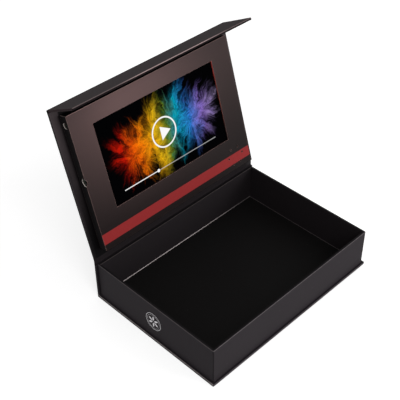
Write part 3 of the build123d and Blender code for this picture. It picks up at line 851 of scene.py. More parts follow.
@dataclass(frozen=True)
class Patch:
    """A stretch of a finish in another colour, such as a rubbed corner, a painted shade or a painted
    highlight.

    Attributes:
        colour: The stretch's colour.
        across: Where it lies along X, or along the size of X where it is mirrored.
        along: Where it lies along the second axis of its material.
        inwards: Where it lies along the third axis.
        soft: Half the width of its borders in millimetres.
        fade: Half the width of its borders along X, and the widest that those inwards may be.
        strength: How much of the colour it lays on.
        broken: How much of it a fine noise leaves out.
        mirrored: Whether it lies on both sides of the middle.
    """

    colour: Colour
    across: Span = EVERYWHERE
    along: Span = EVERYWHERE
    inwards: Span = EVERYWHERE
    soft: float = 0.12
    fade: float = 0.12
    strength: float = 0.9
    broken: float = 0.2
    mirrored: bool = False

    def lay(self, material: Material) -> None:
        """Lay the stretch over a material: its mask is the product of a band along each axis.

        Args:
            material: The material, whose base colour is filled.
        """
        tree = material.tree
        across, along, inwards = tree.split(material.place)
        if self.mirrored:
            across = tree.size(across)
        holes = tree.between(tree.noise(material.place, 0.45, 4.0), 0.4, 0.6)
        whole, open_share = self.strength * (1 - self.broken), self.strength * self.broken
        mask = tree.plus(whole, tree.times(holes, open_share))
        bands = ((across, self.across, self.fade), (along, self.along, self.soft),
                 (inwards, self.inwards, min(self.soft, self.fade)))
        for number, span, soft in bands:
            if span != EVERYWHERE:
                mask = tree.times(mask, tree.band(number, *span, soft))
        material.overlay(mask, self.colour)


def near_low(face: float, reach: float) -> Span:
    """Give the span of a patch that reaches inwards from a piece's lowest face."""
    return (face - PAST, face + reach)


def near_high(face: float, reach: float) -> Span:
    """Give the span of a patch that reaches inwards from a piece's highest face."""
    return (face - reach, face + PAST)


@dataclass(frozen=True)
class PatchedFinish(Finish):
    """A finish with patches laid over it, in order.

    Attributes:
        base: The finish below.
        patches: The patches.
    """

    base: Finish
    patches: tuple[Patch, ...]

    def fill(self, material: Material) -> None:
        """Fill a material's tree."""
        self.base.fill(material)
        for patch in self.patches:
            patch.lay(material)


@dataclass(frozen=True)
class TrayWrapFinish(Finish):
    """The tray's paper, with a pale raw strip where it stops inside, just above the floor card, and
    painted shade over that strip.

    Attributes:
        paper: The paper.
        raw: The strip's colour.
        foot: Height of the floor card's top in millimetres.
        inner: Half the tray's inside length, and the inside of its back wall.
        strip: Height of the strip at the back wall and at the end walls.
        shade_from: X where painted shade starts to dim the strip at the back wall.
        shaded_off: How much of the strip the painted shade takes at the right end.
        end_unshaded: How much of the strip the painted shade leaves on the end walls.
    """

    paper: PaperFinish
    raw: Colour
    foot: float
    inner: Span
    strip: Span
    shade_from: float = 20.0
    shaded_off: float = 0.8
    end_unshaded: float = 0.15

    def fill(self, material: Material) -> None:
        """Fill a material's tree.

        Args:
            material: The material.
        """
        self.paper.fill(material)
        tree = material.tree
        across, deep, up = tree.split(material.place)
        width = tree.size(across)
        (end, back), (back_top, end_top) = self.inner, self.strip
        wobble = tree.about(0.0, tree.noise(material.place, 0.06, 3.0), 0.5)
        height = tree.plus(tree.minus(up, self.foot), wobble)

        def past(number: object, face: float, span: Span) -> bpy.types.NodeSocket:
            """Rise from 0 to 1 over a span that is counted from a face."""
            return tree.between(number, face + span[0], face + span[1])

        before, behind = (-0.25, -0.2), (0.1, 0.2)
        low_end = tree.times(past(width, end, before), tree.less(past(height, end_top, (0.0, 0.15))))
        low_back = tree.times(past(deep, back, before), tree.less(past(height, back_top, (0.0, 0.2))))
        inside = tree.times(tree.less(past(width, end, behind)), tree.less(past(deep, back, behind)))
        # painted shade: the strip dims towards the right end and shows only faintly on the end walls
        full = tree.less(tree.times(tree.between(across, self.shade_from, end), self.shaded_off))
        strongest = tree.math("MAXIMUM", tree.times(low_back, full), tree.times(low_end, self.end_unshaded))
        material.overlay(tree.times(strongest, inside), self.raw)


@dataclass(frozen=True)
class SheenFinish(Finish):
    """Moulded plastic, metal, lacquer or foam: one colour with a slow cloud, fine pits and a set gloss.

    Attributes:
        colour: The colour.
        rough: The roughness.
        pit: Width of the pits in millimetres.
        depth: Depth of the pits in millimetres.
        contrast: How much the colour varies.
        metallic: How metallic it is.
    """

    colour: Colour
    rough: float = 0.4
    pit: float = 0.25
    depth: float = 0.01
    contrast: float = 0.12
    metallic: float = 0.0

    def fill(self, material: Material) -> None:
        """Fill a material's tree.

        Args:
            material: The material.
        """
        tree, place = material.tree, material.place
        grain = tree.group(paper_grain, Place=place, Fibre=self.pit, Cloud=8.0, Contrast=self.contrast)
        material.set(Base_Color=tree.shaded(self.colour, grain["Shade"]), Metallic=self.metallic,
                     Roughness=tree.about(self.rough, grain["Height"], 0.2))
        material.bump(grain["Height"], self.depth)


@dataclass(frozen=True)
class CircuitFinish(Finish):
    """Solder mask over copper: green, with lighter straight tracks and tinned dots.

    Attributes:
        mask: The solder mask's colour.
        track: The tracks' colour.
        tin: The dots' colour.
        cells: Cells to a millimetre.
        lane: Half the distance from one track to the next.
        track_edge: Where a track's edge lies in its half lane.
        slant: Slope of the tracks.
    """

    mask: Colour = srgb(14, 70, 38)
    track: Colour = srgb(34, 104, 58)
    tin: Colour = srgb(190, 190, 182)
    cells: float = 0.22
    lane: float = 0.5
    track_edge: Span = (0.28, 0.32)
    slant: float = 0.001

    def fill(self, material: Material) -> None:
        """Fill a material's tree: tracks run along the lanes of some square cells.

        Args:
            material: The material.
        """
        tree, place = material.tree, material.place
        across, along, _ = tree.split(place)
        square = {"Vector": place, "Scale": self.cells}
        cells = tree.add("ShaderNodeTexVoronoi", square, distance="CHEBYCHEV")
        chosen = tree.between(tree.split(cells.outputs["Color"])[1], 0.45, 0.5)
        lane = tree.math("PINGPONG", tree.plus(along, tree.times(across, self.slant)), self.lane)
        tracks = tree.times(tree.between(lane, *self.track_edge), chosen)
        dots = tree.group(dust, Place=place, Spacing=2.4, Amount=1.0)["Mask"]
        colour = tree.mix(dots, tree.mix(tracks, self.mask, self.track), self.tin)
        material.set(Base_Color=colour, Roughness=0.32, Metallic=tree.times(dots, 0.9))
        material.bump(tree.plus(tracks, dots), depth=0.03)


@dataclass(frozen=True)
class PrintFinish(Finish):
    """Printed face sheet: satin brown ink under painted shade, with a red band across its foot and a
    bare paper edge.

    Attributes:
        ink: The ink at the head, where the painted shade is least.
        shaded_ink: The ink at the foot, darkened by painted shade.
        band: The band's ink.
        core: The paper's cut edge.
        shade_lift: From where to where up the lid the painted shade lifts.
        band_span: Where the band runs, from the hinge line up the lid.
        right: From where to where across painted shade dims the head's ink to the right.
        left: The same to the left, counted to the left.
        side_shade: How much of the head's ink the painted shade takes at the right and the left end.
    """

    ink: Colour
    shaded_ink: Colour
    band: Colour
    core: Colour
    shade_lift: Span
    band_span: Span
    right: Span = (-40.0, 100.0)
    left: Span = (40.0, 110.0)
    side_shade: Span = (0.75, 0.55)

    def fill(self, material: Material) -> None:
        """Fill a material's tree: the cut edge is where the normal turns from the lid's.

        Args:
            material: The material.
        """
        tree, place = material.tree, material.place
        across, along, _ = tree.split(place)
        grain = tree.group(paper_grain, Place=place, Fibre=0.4, Cloud=60.0, Contrast=0.08)
        # painted shade: the ink darkens towards the foot and towards both ends of the head
        rise = tree.math("POWER", tree.between(along, *self.shade_lift), 1.3)
        right = tree.times(tree.between(across, *self.right), self.side_shade[0])
        left = tree.times(tree.between(tree.times(across, -1.0), *self.left), self.side_shade[1])
        full = tree.times(rise, tree.minus(tree.less(right), left))
        ink = tree.mix(full, self.shaded_ink, self.ink)
        printed = tree.mix(tree.band(along, *self.band_span, 0.06), ink, self.band)
        normal = material.source.outputs["Normal"]
        facing = tree.size(tree.vector("DOT_PRODUCT", normal, tuple(material.leaf.inward)))
        cut = tree.less(tree.between(facing, 0.3, 0.6))
        worn = tree.group(edge_wear, Place=place, Radius=0.4 * MM, Patch=5.0, Amount=0.7)["Mask"]
        bare = tree.math("MAXIMUM", cut, worn)
        material.set(Base_Color=tree.mix(bare, tree.shaded(printed, grain["Shade"]), self.core),
                     Roughness=tree.plus(0.26, tree.times(grain["Height"], 0.12)),
                     Specular_IOR_Level=0.05)
        material.bump(grain["Height"], depth=0.012, strength=0.6)


@dataclass(frozen=True)
class PictureFinish(Finish):
    """Lit picture of the screen: a burst of powder in the rainbow's order, and a player's controls.

    Attributes:
        width: The picture's width.
        height: The picture's height.
        middle: The height of its middle, up the lid.
        clouds: X, Y, reach, softness and seed of each burst, in half heights from the middle.
        rainbow: Colours from left to right, with their places from 0 to 1.
        ragged: How far the border between two hues strays, as a share of the width.
        ring: Radius and half the line's width of the ring.
        sign: Distance of the play sign's three sides from the middle.
        bar: Depth of the bar below the middle, half its thickness and half its length.
        played: X where the played part of the bar ends.
        unplayed: Brightness of the rest of the bar.
        knob: Radius of the knob.
    """

    width: float
    height: float
    middle: float
    clouds: tuple[tuple[float, ...], ...] = (
        (-0.85, -0.10, 1.05, 0.75, 0.0), (-0.30, 0.0, 1.25, 0.8, 3.7),
        (0.28, 0.05, 1.25, 0.8, 8.1), (0.88, 0.0, 1.05, 0.7, 12.9),
    )
    rainbow: tuple[tuple[float, Colour], ...] = (
        (0.0, srgb(90, 0, 0)), (0.16, srgb(225, 30, 5)), (0.30, srgb(255, 120, 5)),
        (0.43, srgb(252, 196, 20)), (0.53, srgb(90, 130, 40)), (0.62, srgb(0, 165, 190)),
        (0.72, srgb(50, 130, 225)), (0.84, srgb(140, 110, 200)), (1.0, srgb(190, 170, 215)),
    )
    ragged: float = 0.16
    ring: Span = (15.0, 0.8)
    sign: float = 4.2
    bar: tuple[float, float, float] = (34.0, 0.45, 62.0)
    played: float = -18.0
    unplayed: float = 0.35
    knob: float = 1.7

    def lights(self, tree: Tree, x: object, y: object) -> bpy.types.NodeSocket:
        """Add the bursts' light and tint it by the rainbow.

        Args:
            tree: The material's tree.
            x: Millimetres to the right of the middle.
            y: Millimetres above the middle.

        Returns:
            The light's colour.
        """
        half = self.height / 2
        right, up = tree.math("DIVIDE", x, half), tree.math("DIVIDE", y, half)
        total = 0.0
        for middle, lift, reach, soft, seed in self.clouds:
            burst = tree.group(colour_burst, X=tree.minus(right, middle), Y=tree.minus(up, lift),
                               Reach=reach, Soft=soft, Seed=seed)
            total = tree.math("MAXIMUM", total, burst["Light"])
        across = tree.plus(tree.math("DIVIDE", x, self.width), 0.5)
        cloud = tree.noise(tree.join(right, up, 0.0), 3.2, 4.0, 0.65)
        ramp = tree.add("ShaderNodeValToRGB", {0: tree.about(across, cloud, self.ragged)})
        stops = ramp.color_ramp.elements
        for place, colour in self.rainbow[1:-1]:
            stops.new(place).color = colour
        stops[0].color, stops[-1].color = self.rainbow[0][1], self.rainbow[-1][1]
        return tree.shaded(ramp.outputs[0], total)

    def controls(self, tree: Tree, x: object, y: object) -> bpy.types.NodeSocket:
        """Mask of the play sign in its ring and the progress bar.

        The sign lies within three lines at the same distance from the middle, 120 degrees apart.

        Args:
            tree: The material's tree.
            x: Millimetres to the right of the middle.
            y: Millimetres above the middle.

        Returns:
            The mask.
        """
        def line(value: object, half: float) -> bpy.types.NodeSocket:
            """Mask where a distance is under half, with a soft edge."""
            return tree.less(tree.between(value, half - 0.15, half + 0.15))

        radius, ring_half = self.ring
        ring = line(tree.size(tree.minus(tree.distance(x, y), radius)), ring_half)
        cosine, sine = 0.5, 0.866  # of 60 degrees, the lean of the sign's slanting sides
        slope = tree.plus(tree.times(x, cosine), tree.times(tree.size(y), sine))
        sign = line(tree.math("MAXIMUM", slope, tree.times(x, -1.0)), self.sign)
        drop, thick, length = self.bar
        up = tree.plus(y, drop)
        played = tree.less(tree.between(x, self.played - 0.2, self.played + 0.2))
        shine = tree.plus(self.unplayed, tree.times(played, 1 - self.unplayed))
        bar = tree.times(line(tree.size(up), thick), line(tree.size(x), length), shine)
        knob = line(tree.distance(tree.minus(x, self.played), up), self.knob)
        return tree.math("MAXIMUM", tree.math("MAXIMUM", ring, sign), tree.math("MAXIMUM", bar, knob))

    def fill(self, material: Material) -> None:
        """Fill a material's tree.

        Args:
            material: The material.
        """
        tree = material.tree
        x, along, _ = tree.split(material.place)
        y = tree.minus(along, self.middle)
        white = (0.95, 0.95, 0.95, 1.0)
        colour = tree.mix(self.controls(tree, x, y), self.lights(tree, x, y), white)
        haze = tree.times(tree.noise(material.place, 0.05, 1.0), 0.1)
        material.set(Base_Color=srgb(3, 3, 4), Roughness=tree.plus(0.3, haze), Specular_IOR_Level=0.0,
                     Emission_Color=colour, Emission_Strength=1.0)


@dataclass(frozen=True)
class Finishes:
    """Every finish of the box, by what wears it."""

    # one black wrapping paper, in lighter and darker copies for the lid, flap, base, tray, pod and fold:
    # painted light and shade
    wrap: PaperFinish = PaperFinish(srgb(37, 33, 35), srgb(140, 130, 133), wear=0.55)
    flap_wrap: PaperFinish = PaperFinish(srgb(41, 34, 36), srgb(110, 96, 98), wear=0.4, index=1.08)
    base_wrap: PaperFinish = PaperFinish(srgb(36, 33, 36), srgb(120, 114, 118), wear=0.35, radius=0.5)
    tray_wrap: PaperFinish = PaperFinish(srgb(44, 40, 43), srgb(110, 104, 108), wear=0.0)
    fold: PaperFinish = PaperFinish(srgb(32, 28, 30), srgb(90, 80, 80), wear=0.0, radius=0.3)
    pod_wrap: PaperFinish = PaperFinish(srgb(24, 22, 23), srgb(120, 108, 106), wear=0.35)
    lining: PaperFinish = PaperFinish(
        srgb(64, 57, 59), srgb(110, 98, 98), wear=0.3, radius=0.3, index=1.12)
    flap_lining: PaperFinish = PaperFinish(
        srgb(46, 41, 43), srgb(110, 98, 98), wear=0.3, radius=0.3, index=1.12)
    floor: PaperFinish = PaperFinish(
        srgb(20, 19, 19), srgb(60, 56, 56), rough=0.6, wear=0.1, radius=0.3)
    kraft: PaperFinish = PaperFinish(
        srgb(150, 112, 74), srgb(190, 160, 125), rough=0.8, fibre=0.6, wear=0.2)
    greyboard: BoardFinish = BoardFinish()
    # pale cut board, lightened further as painted light on the frame's cut edges
    pale_board: BoardFinish = BoardFinish(srgb(255, 246, 238), srgb(190, 176, 168))
    card: BoardFinish = BoardFinish(srgb(64, 40, 38), srgb(44, 30, 28))
    steel: SheenFinish = SheenFinish(
        srgb(196, 198, 202), rough=0.3, metallic=1.0, contrast=0.08, depth=0.004)
    magnet: SheenFinish = SheenFinish(
        srgb(170, 172, 176), rough=0.28, metallic=1.0, contrast=0.1, depth=0.006)
    foam: SheenFinish = SheenFinish(srgb(34, 34, 36), rough=0.95, pit=0.6, depth=0.15, contrast=0.5)
    plastic: SheenFinish = SheenFinish(srgb(24, 24, 26), rough=0.42)
    pale_plastic: SheenFinish = SheenFinish(srgb(214, 210, 198), rough=0.4)
    guide: SheenFinish = SheenFinish(srgb(235, 238, 240), rough=0.2, contrast=0.05)
    amber: SheenFinish = SheenFinish(srgb(150, 84, 26), rough=0.3, contrast=0.15)
    glass: SheenFinish = SheenFinish(srgb(8, 8, 10), rough=0.12, contrast=0.1, depth=0.002)
    cone: SheenFinish = SheenFinish(srgb(30, 29, 30), rough=0.8, pit=0.5, depth=0.05, contrast=0.3)
    wire: SheenFinish = SheenFinish(srgb(150, 26, 24), rough=0.38, contrast=0.1)
    foil: SheenFinish = SheenFinish(
        srgb(186, 188, 192), rough=0.34, metallic=0.9, contrast=0.12, depth=0.02)
    tape: SheenFinish = SheenFinish(srgb(222, 200, 120), rough=0.35, contrast=0.12)
    chip: SheenFinish = SheenFinish(srgb(30, 30, 32), rough=0.55, pit=0.2, depth=0.02)
    silver: SheenFinish = SheenFinish(
        srgb(214, 211, 214), rough=0.36, metallic=0.35, contrast=0.06, depth=0.004)
    circuit: CircuitFinish = CircuitFinish()


class Dresser:
    """Makes each finish once for each leaf and puts it on nodes and pieces."""

    def __init__(self, box: Box, finishes: Finishes) -> None:
        """Start with nothing made."""
        self.box = box
        self.finishes = finishes
        self.made: dict[tuple[str, str], bpy.types.Material] = {}

    def material(self, name: str, finish: Finish, leaf: Leaf | None = None) -> bpy.types.Material:
        """Give a finish's material for a leaf, and make it on its first use.

        Args:
            name: The finish's name.
            finish: The finish.
            leaf: The leaf that its pattern follows, or None for the row frame.

        Returns:
            The material.
        """
        where = "case" if leaf is None else "lid" if leaf is self.box.lid else "flap"
        key = (name, where)
        if key not in self.made:
            self.made[key] = finish.make(f"{name}_{where}", leaf)
        return self.made[key]

    def wear(self, piece: bpy.types.Object, material: bpy.types.Material) -> None:
        """Put one material on the whole of a piece."""
        piece.data.materials.clear()
        piece.data.materials.append(material)

    def nodes(self, names: str, name: str, finish: Finish, leaf: Leaf | None = None) -> None:
        """Dress nodes.

        Args:
            names: The nodes' names in one string, with spaces between.
            name: The finish's name.
            finish: The finish.
            leaf: The leaf that its pattern follows, or None for the row frame.
        """
        for node in names.split():
            self.wear(self.box.node(node), self.material(name, finish, leaf))
            log.info("dressed %s in %s", node, name)

    def plain(self, leaf: Leaf | None, **worn: str) -> None:
        """Dress nodes in finishes as they are.

        Args:
            leaf: The leaf that the patterns follow, or None for the row frame.
            worn: Each finish of Finishes, with the names of the nodes that wear it.
        """
        for name, nodes in worn.items():
            self.nodes(nodes, name, getattr(self.finishes, name), leaf)


def keep(piece: bpy.types.Object, body: str | None = None) -> None:
    """Give a piece the body that it rides on, and log it.

    Args:
        piece: The piece.
        body: The body, or None to leave the piece unattached.
    """
    if body is not None:
        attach(piece, body)
    log.info("built %s with %d vertices", piece.name, len(piece.data.vertices))


# ---------------------------------------------------------------- sub-assemblies
@dataclass
class Assembly:
    """A sub-assembly of the box.

    Attributes:
        box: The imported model.
    """

    box: Box

    def dress(self, dresser: Dresser) -> None:
        """Dress the sub-assembly's nodes."""

    def build(self, dresser: Dresser) -> None:
        """Build the scene's own pieces."""


@dataclass
class Case(Assembly):
    """Base, spine and tray, with the silver badge on the tray's left wall.

    Attributes:
        paper: Thickness of the covering paper.
        raw_strip: Height of the bare strip inside the tray, at the back wall and at the end walls.
        rim: Width of the rubbed line round the tray's top, partly a painted highlight.
        corner_shade: Width of the painted shade down the tray's front corners.
        badge_at: Y and Z of the badge's middle.
        badge_rings: Inner and outer radius of each ring.
        petals: Number of petals of the rosette.
        petal: Nearest point, length and half width of a petal.
        relief: Height of the badge's foil.
        sunk: How far the foil reaches into the wall.
        ring_steps: Points round a ring.
        petal_steps: Points along one edge of a petal.
    """

    paper: float = 0.15
    raw_strip: Span = (0.85, 0.4)
    rim: float = 0.45
    corner_shade: float = 0.9
    badge_at: Span = (-0.2, 23.0)
    badge_rings: tuple[Span, ...] = ((9.65, 10.05), (8.0, 8.15))
    petals: int = 6
    petal: tuple[float, float, float] = (1.3, 5.6, 1.05)
    relief: float = 0.12
    sunk: float = 0.02
    ring_steps: int = 96
    petal_steps: int = 18

    def tray_finish(self, finishes: Finishes) -> PatchedFinish:
        """Give the tray's finish: painted shade over its inside and along its top, rubbed lines round
        its top that are partly a painted highlight, and painted shade down its front corners.

        Args:
            finishes: The box's finishes.

        Returns:
            The finish.
        """
        floor = self.box.high("floor_liner")
        end, back = floor.x + self.paper, floor.y + self.paper
        low, high = self.box.low("tray_wrap"), self.box.high("tray_wrap")
        strip = TrayWrapFinish(
            finishes.tray_wrap, srgb(216, 204, 203), floor.z, (end, back), self.raw_strip)
        shade, top = srgb(13, 12, 13), near_high(high.z, 0.4)
        return PatchedFinish(strip, (
            # painted shade over the inside walls, above the raw strip
            Patch(srgb(23, 20, 20), across=(-end, end), along=(-floor.y - PAST, back),
                  inwards=(floor.z + 1.2, high.z + PAST), broken=0.0),
            # painted shade along the tray's top; the three lines after it are rubbed lines, partly
            # painted highlight, lightest at the front
            Patch(shade, inwards=near_high(high.z, 0.3), strength=0.75, broken=0.1),
            Patch(srgb(93, 88, 89), across=near_high(high.x, self.rim), inwards=top, mirrored=True),
            Patch(srgb(106, 100, 102), along=near_low(low.y, self.rim), inwards=top),
            Patch(srgb(84, 77, 76), along=(back - 0.2, back + 0.4), inwards=top, strength=0.8),
            # painted shade down the tray's front corners
            Patch(shade, across=near_high(high.x, self.corner_shade), along=near_low(low.y, self.corner_shade),
                  inwards=(0.0, high.z - 0.6), soft=0.3, strength=0.6, mirrored=True),
        ))

    def base_finish(self, finishes: Finishes) -> PatchedFinish:
        """Give the case's finish: rubbed edges that are partly a painted highlight at both ends, and
        painted light on the front lip.

        Args:
            finishes: The box's finishes.

        Returns:
            The finish.
        """
        half, front = self.box.high("case_wrap").x, self.box.low("case_wrap").y
        return PatchedFinish(finishes.base_wrap, (
            # rubbed lines along the lip's ends, partly painted highlight
            Patch(srgb(150, 141, 141), across=near_high(half, 0.55), inwards=(1.5, 3.0),
                  broken=0.3, mirrored=True),
            # painted light on the front face of the base's lip
            Patch(srgb(78, 72, 76), along=near_low(front, 0.4), inwards=(0.5, 3.0), broken=0.25),
        ))

    def dress(self, dresser: Dresser) -> None:
        """Dress the case's nodes.

        Args:
            dresser: What dresses them.
        """
        dresser.plain(None, greyboard="base_board spine_board tray_board", floor="floor_liner",
                      kraft="corner_stays", magnet="tray_magnets trigger_magnet")
        dresser.nodes("case_wrap", "base_wrap", self.base_finish(dresser.finishes))
        dresser.nodes("tray_wrap", "tray_wrap", self.tray_finish(dresser.finishes))

    def petal_outlines(self) -> np.ndarray:
        """Outline each petal, in millimetres from the badge's middle.

        A petal's half width is that of its widest part times (sin pi t)^0.8, where t runs from 0 to
        1 along the petal.

        Returns:
            Y and Z of each point of each petal.
        """
        near, length, wide = self.petal
        t = np.linspace(0, 1, self.petal_steps)
        edge = np.column_stack([near + length * t, wide * np.sin(math.pi * t) ** 0.8])
        out, side = np.concatenate([edge, (edge * (1, -1))[-2:0:-1]]).T
        turns = np.arange(self.petals)[:, None] * 2 * math.pi / self.petals + math.pi / 2
        cos, sin = np.cos(turns), np.sin(turns)
        return np.stack([out * cos - side * sin, out * sin + side * cos], axis=-1)

    def rosette(self) -> bpy.types.Object:
        """Build the rosette, with every petal stood off the wall as a flat solid.

        Returns:
            The new object.
        """
        wall = self.box.low("tray_wrap").x
        points, faces, start = [], [], 0
        for outline in self.petal_outlines() + np.array(self.badge_at):
            count = len(outline)
            for x in (wall + self.sunk, wall - self.relief):
                points.append(np.column_stack([np.full(count, x), outline]))
            near = np.arange(start, start + count)
            far, near_next = near + count, np.roll(near, -1)
            faces.extend([near.tolist(), far[::-1].tolist()])
            faces.extend(np.stack([near, far, near_next + count, near_next], axis=-1).tolist())
            start += 2 * count
        return mesh_object("badge_rosette", np.concatenate(points) * MM, faces, smooth=False)

    def ring(self, name: str, radii: Span) -> bpy.types.Object:
        """Build one flat ring.

        Args:
            name: The piece's name.
            radii: Inner and outer radius.

        Returns:
            The new object.
        """
        wall = self.box.low("tray_wrap").x
        back, front = wall + self.sunk, wall - self.relief
        inner, outer = radii
        section = np.array([(back, inner), (front, inner), (front, outer), (back, outer)])
        turn = np.linspace(0, 2 * math.pi, self.ring_steps, endpoint=False)[:, None]
        y = self.badge_at[0] + section[:, 1] * np.cos(turn)
        z = self.badge_at[1] + section[:, 1] * np.sin(turn)
        x = np.broadcast_to(section[:, 0], y.shape)
        faces = grid_faces(self.ring_steps, len(section), wrap_rows=True, wrap_columns=True).tolist()
        return mesh_object(name, np.stack([x, y, z], axis=-1) * MM, faces, smooth=False)

    def build(self, dresser: Dresser) -> None:
        """Build the badge.

        Args:
            dresser: What dresses it.
        """
        foil = dresser.material("silver", dresser.finishes.silver)
        rings = [self.ring(f"badge_ring_{n + 1}", radii) for n, radii in enumerate(self.badge_rings)]
        for piece in (*rings, self.rosette()):
            outwards(piece)
            dresser.wear(piece, foil)
            keep(piece, "case")


@dataclass
class Lid(Assembly):
    """Lid leaf: board, wrapping and lining.

    Attributes:
        shade_to: How far up the lid the shade over the lining's foot reaches.
        shade_soft: Half the width of that shade's border.
        painted_light_from: Where painted light makes the wrapping's inner margin lighter.
        painted_shade_to: Where the painted shade over its foot ends.
        margin_soft: Half the width of those two borders.
    """

    shade_to: float = 88.0
    shade_soft: float = 70.0
    painted_light_from: float = 110.0
    painted_shade_to: float = 40.0
    margin_soft: float = 30.0

    def lining_finish(self, finishes: Finishes) -> PatchedFinish:
        """Give the lining's finish: in shade at its foot, beside the pod and above the pod's head.

        Args:
            finishes: The box's finishes.

        Returns:
            The finish.
        """
        low, high = self.box.lid.span(self.box.node("pod_frame"))
        foot, half, head = low[1], high[0], high[1]
        return PatchedFinish(finishes.lining, (
            Patch(srgb(8, 7, 8), along=(-FAR, self.shade_to), soft=self.shade_soft,
                  strength=1.0, broken=0.0),
            Patch(srgb(7, 5, 6), across=(half - 2.0, half + 2.2), along=(foot - PAST, head),
                  inwards=(1.0, 9.0), soft=0.5, fade=1.4, broken=0.0, mirrored=True),
            Patch(srgb(7, 6, 7), across=(-half - 1.0, half + 1.0), along=(head - 2.0, head + 20.0),
                  soft=0.5, fade=1.0, broken=0.0),
        ))

    def wrap_finish(self, finishes: Finishes) -> PatchedFinish:
        """Give the wrapping's finish: painted light on its inner margin at the head, painted shade on it
        at the foot and on the side faces.

        Args:
            finishes: The box's finishes.

        Returns:
            The finish.
        """
        side, _, thick = self.box.lid.span(self.box.node("lid_wrap"))[1]
        # painted light on the inner margin towards the head; the copy after it is painted shade towards
        # the foot
        light = Patch(srgb(64, 57, 59), along=(self.painted_light_from, FAR), inwards=near_high(thick, 0.15),
                      soft=self.margin_soft, fade=0.1, broken=0.0)
        return PatchedFinish(finishes.wrap, (
            light,
            replace(light, colour=srgb(12, 11, 12), along=(-FAR, self.painted_shade_to)),
            # painted shade on the lid's side faces
            Patch(srgb(15, 13, 14), across=near_high(side, 0.2), strength=0.8, mirrored=True),
        ))

    def dress(self, dresser: Dresser) -> None:
        """Dress the lid's nodes.

        Args:
            dresser: What dresses them.
        """
        lid = self.box.lid
        dresser.plain(lid, greyboard="lid_board")
        dresser.nodes("lid_wrap", "wrap", self.wrap_finish(dresser.finishes), lid)
        dresser.nodes("lid_liner", "lining", self.lining_finish(dresser.finishes), lid)


@dataclass
class Flap(Assembly):
    """Closing flap: board, wrapping, lining and magnets.

    Attributes:
        rub_and_highlight: Where the rubbed free edge with its painted highlight is brightest, along X.
        rub_and_highlight_fade: Half the width of that stretch's borders.
    """

    rub_and_highlight: Span = (-48.0, 62.0)
    rub_and_highlight_fade: float = 18.0

    def wrap_finish(self, finishes: Finishes) -> PatchedFinish:
        """Give the wrapping's finish: painted highlight at its sides, painted shade on its free edge's
        face, and a rubbed line along that edge that is partly a painted highlight.

        Args:
            finishes: The box's finishes.

        Returns:
            The finish.
        """
        side, end, thick = self.box.flap.span(self.box.node("flap_wrap"))[1]
        edge = near_high(end, 0.4)
        return PatchedFinish(finishes.flap_wrap, (
            # painted highlight along the flap's sides
            Patch(srgb(54, 45, 47), across=near_high(side, 0.1), broken=0.0, mirrored=True),
            # painted shade on the face of the free edge
            Patch(srgb(14, 12, 13), along=near_high(end, 0.5), inwards=(0.9, thick + PAST)),
            # rubbed line along the free edge, partly painted highlight, strongest over the middle
            # stretch
            Patch(srgb(140, 124, 123), along=edge, inwards=near_low(0.0, 0.7), strength=0.45),
            Patch(srgb(182, 158, 156), across=self.rub_and_highlight, along=edge, inwards=near_low(0.0, 0.72),
                  fade=self.rub_and_highlight_fade, strength=0.8),
        ))

    def dress(self, dresser: Dresser) -> None:
        """Dress the flap's nodes.

        Args:
            dresser: What dresses them.
        """
        flap, finishes = self.box.flap, dresser.finishes
        dresser.plain(flap, greyboard="flap_board", magnet="flap_magnets")
        dresser.nodes("flap_wrap", "flap_wrap", self.wrap_finish(finishes), flap)
        dresser.nodes("flap_liner", "lining", finishes.flap_lining, flap)


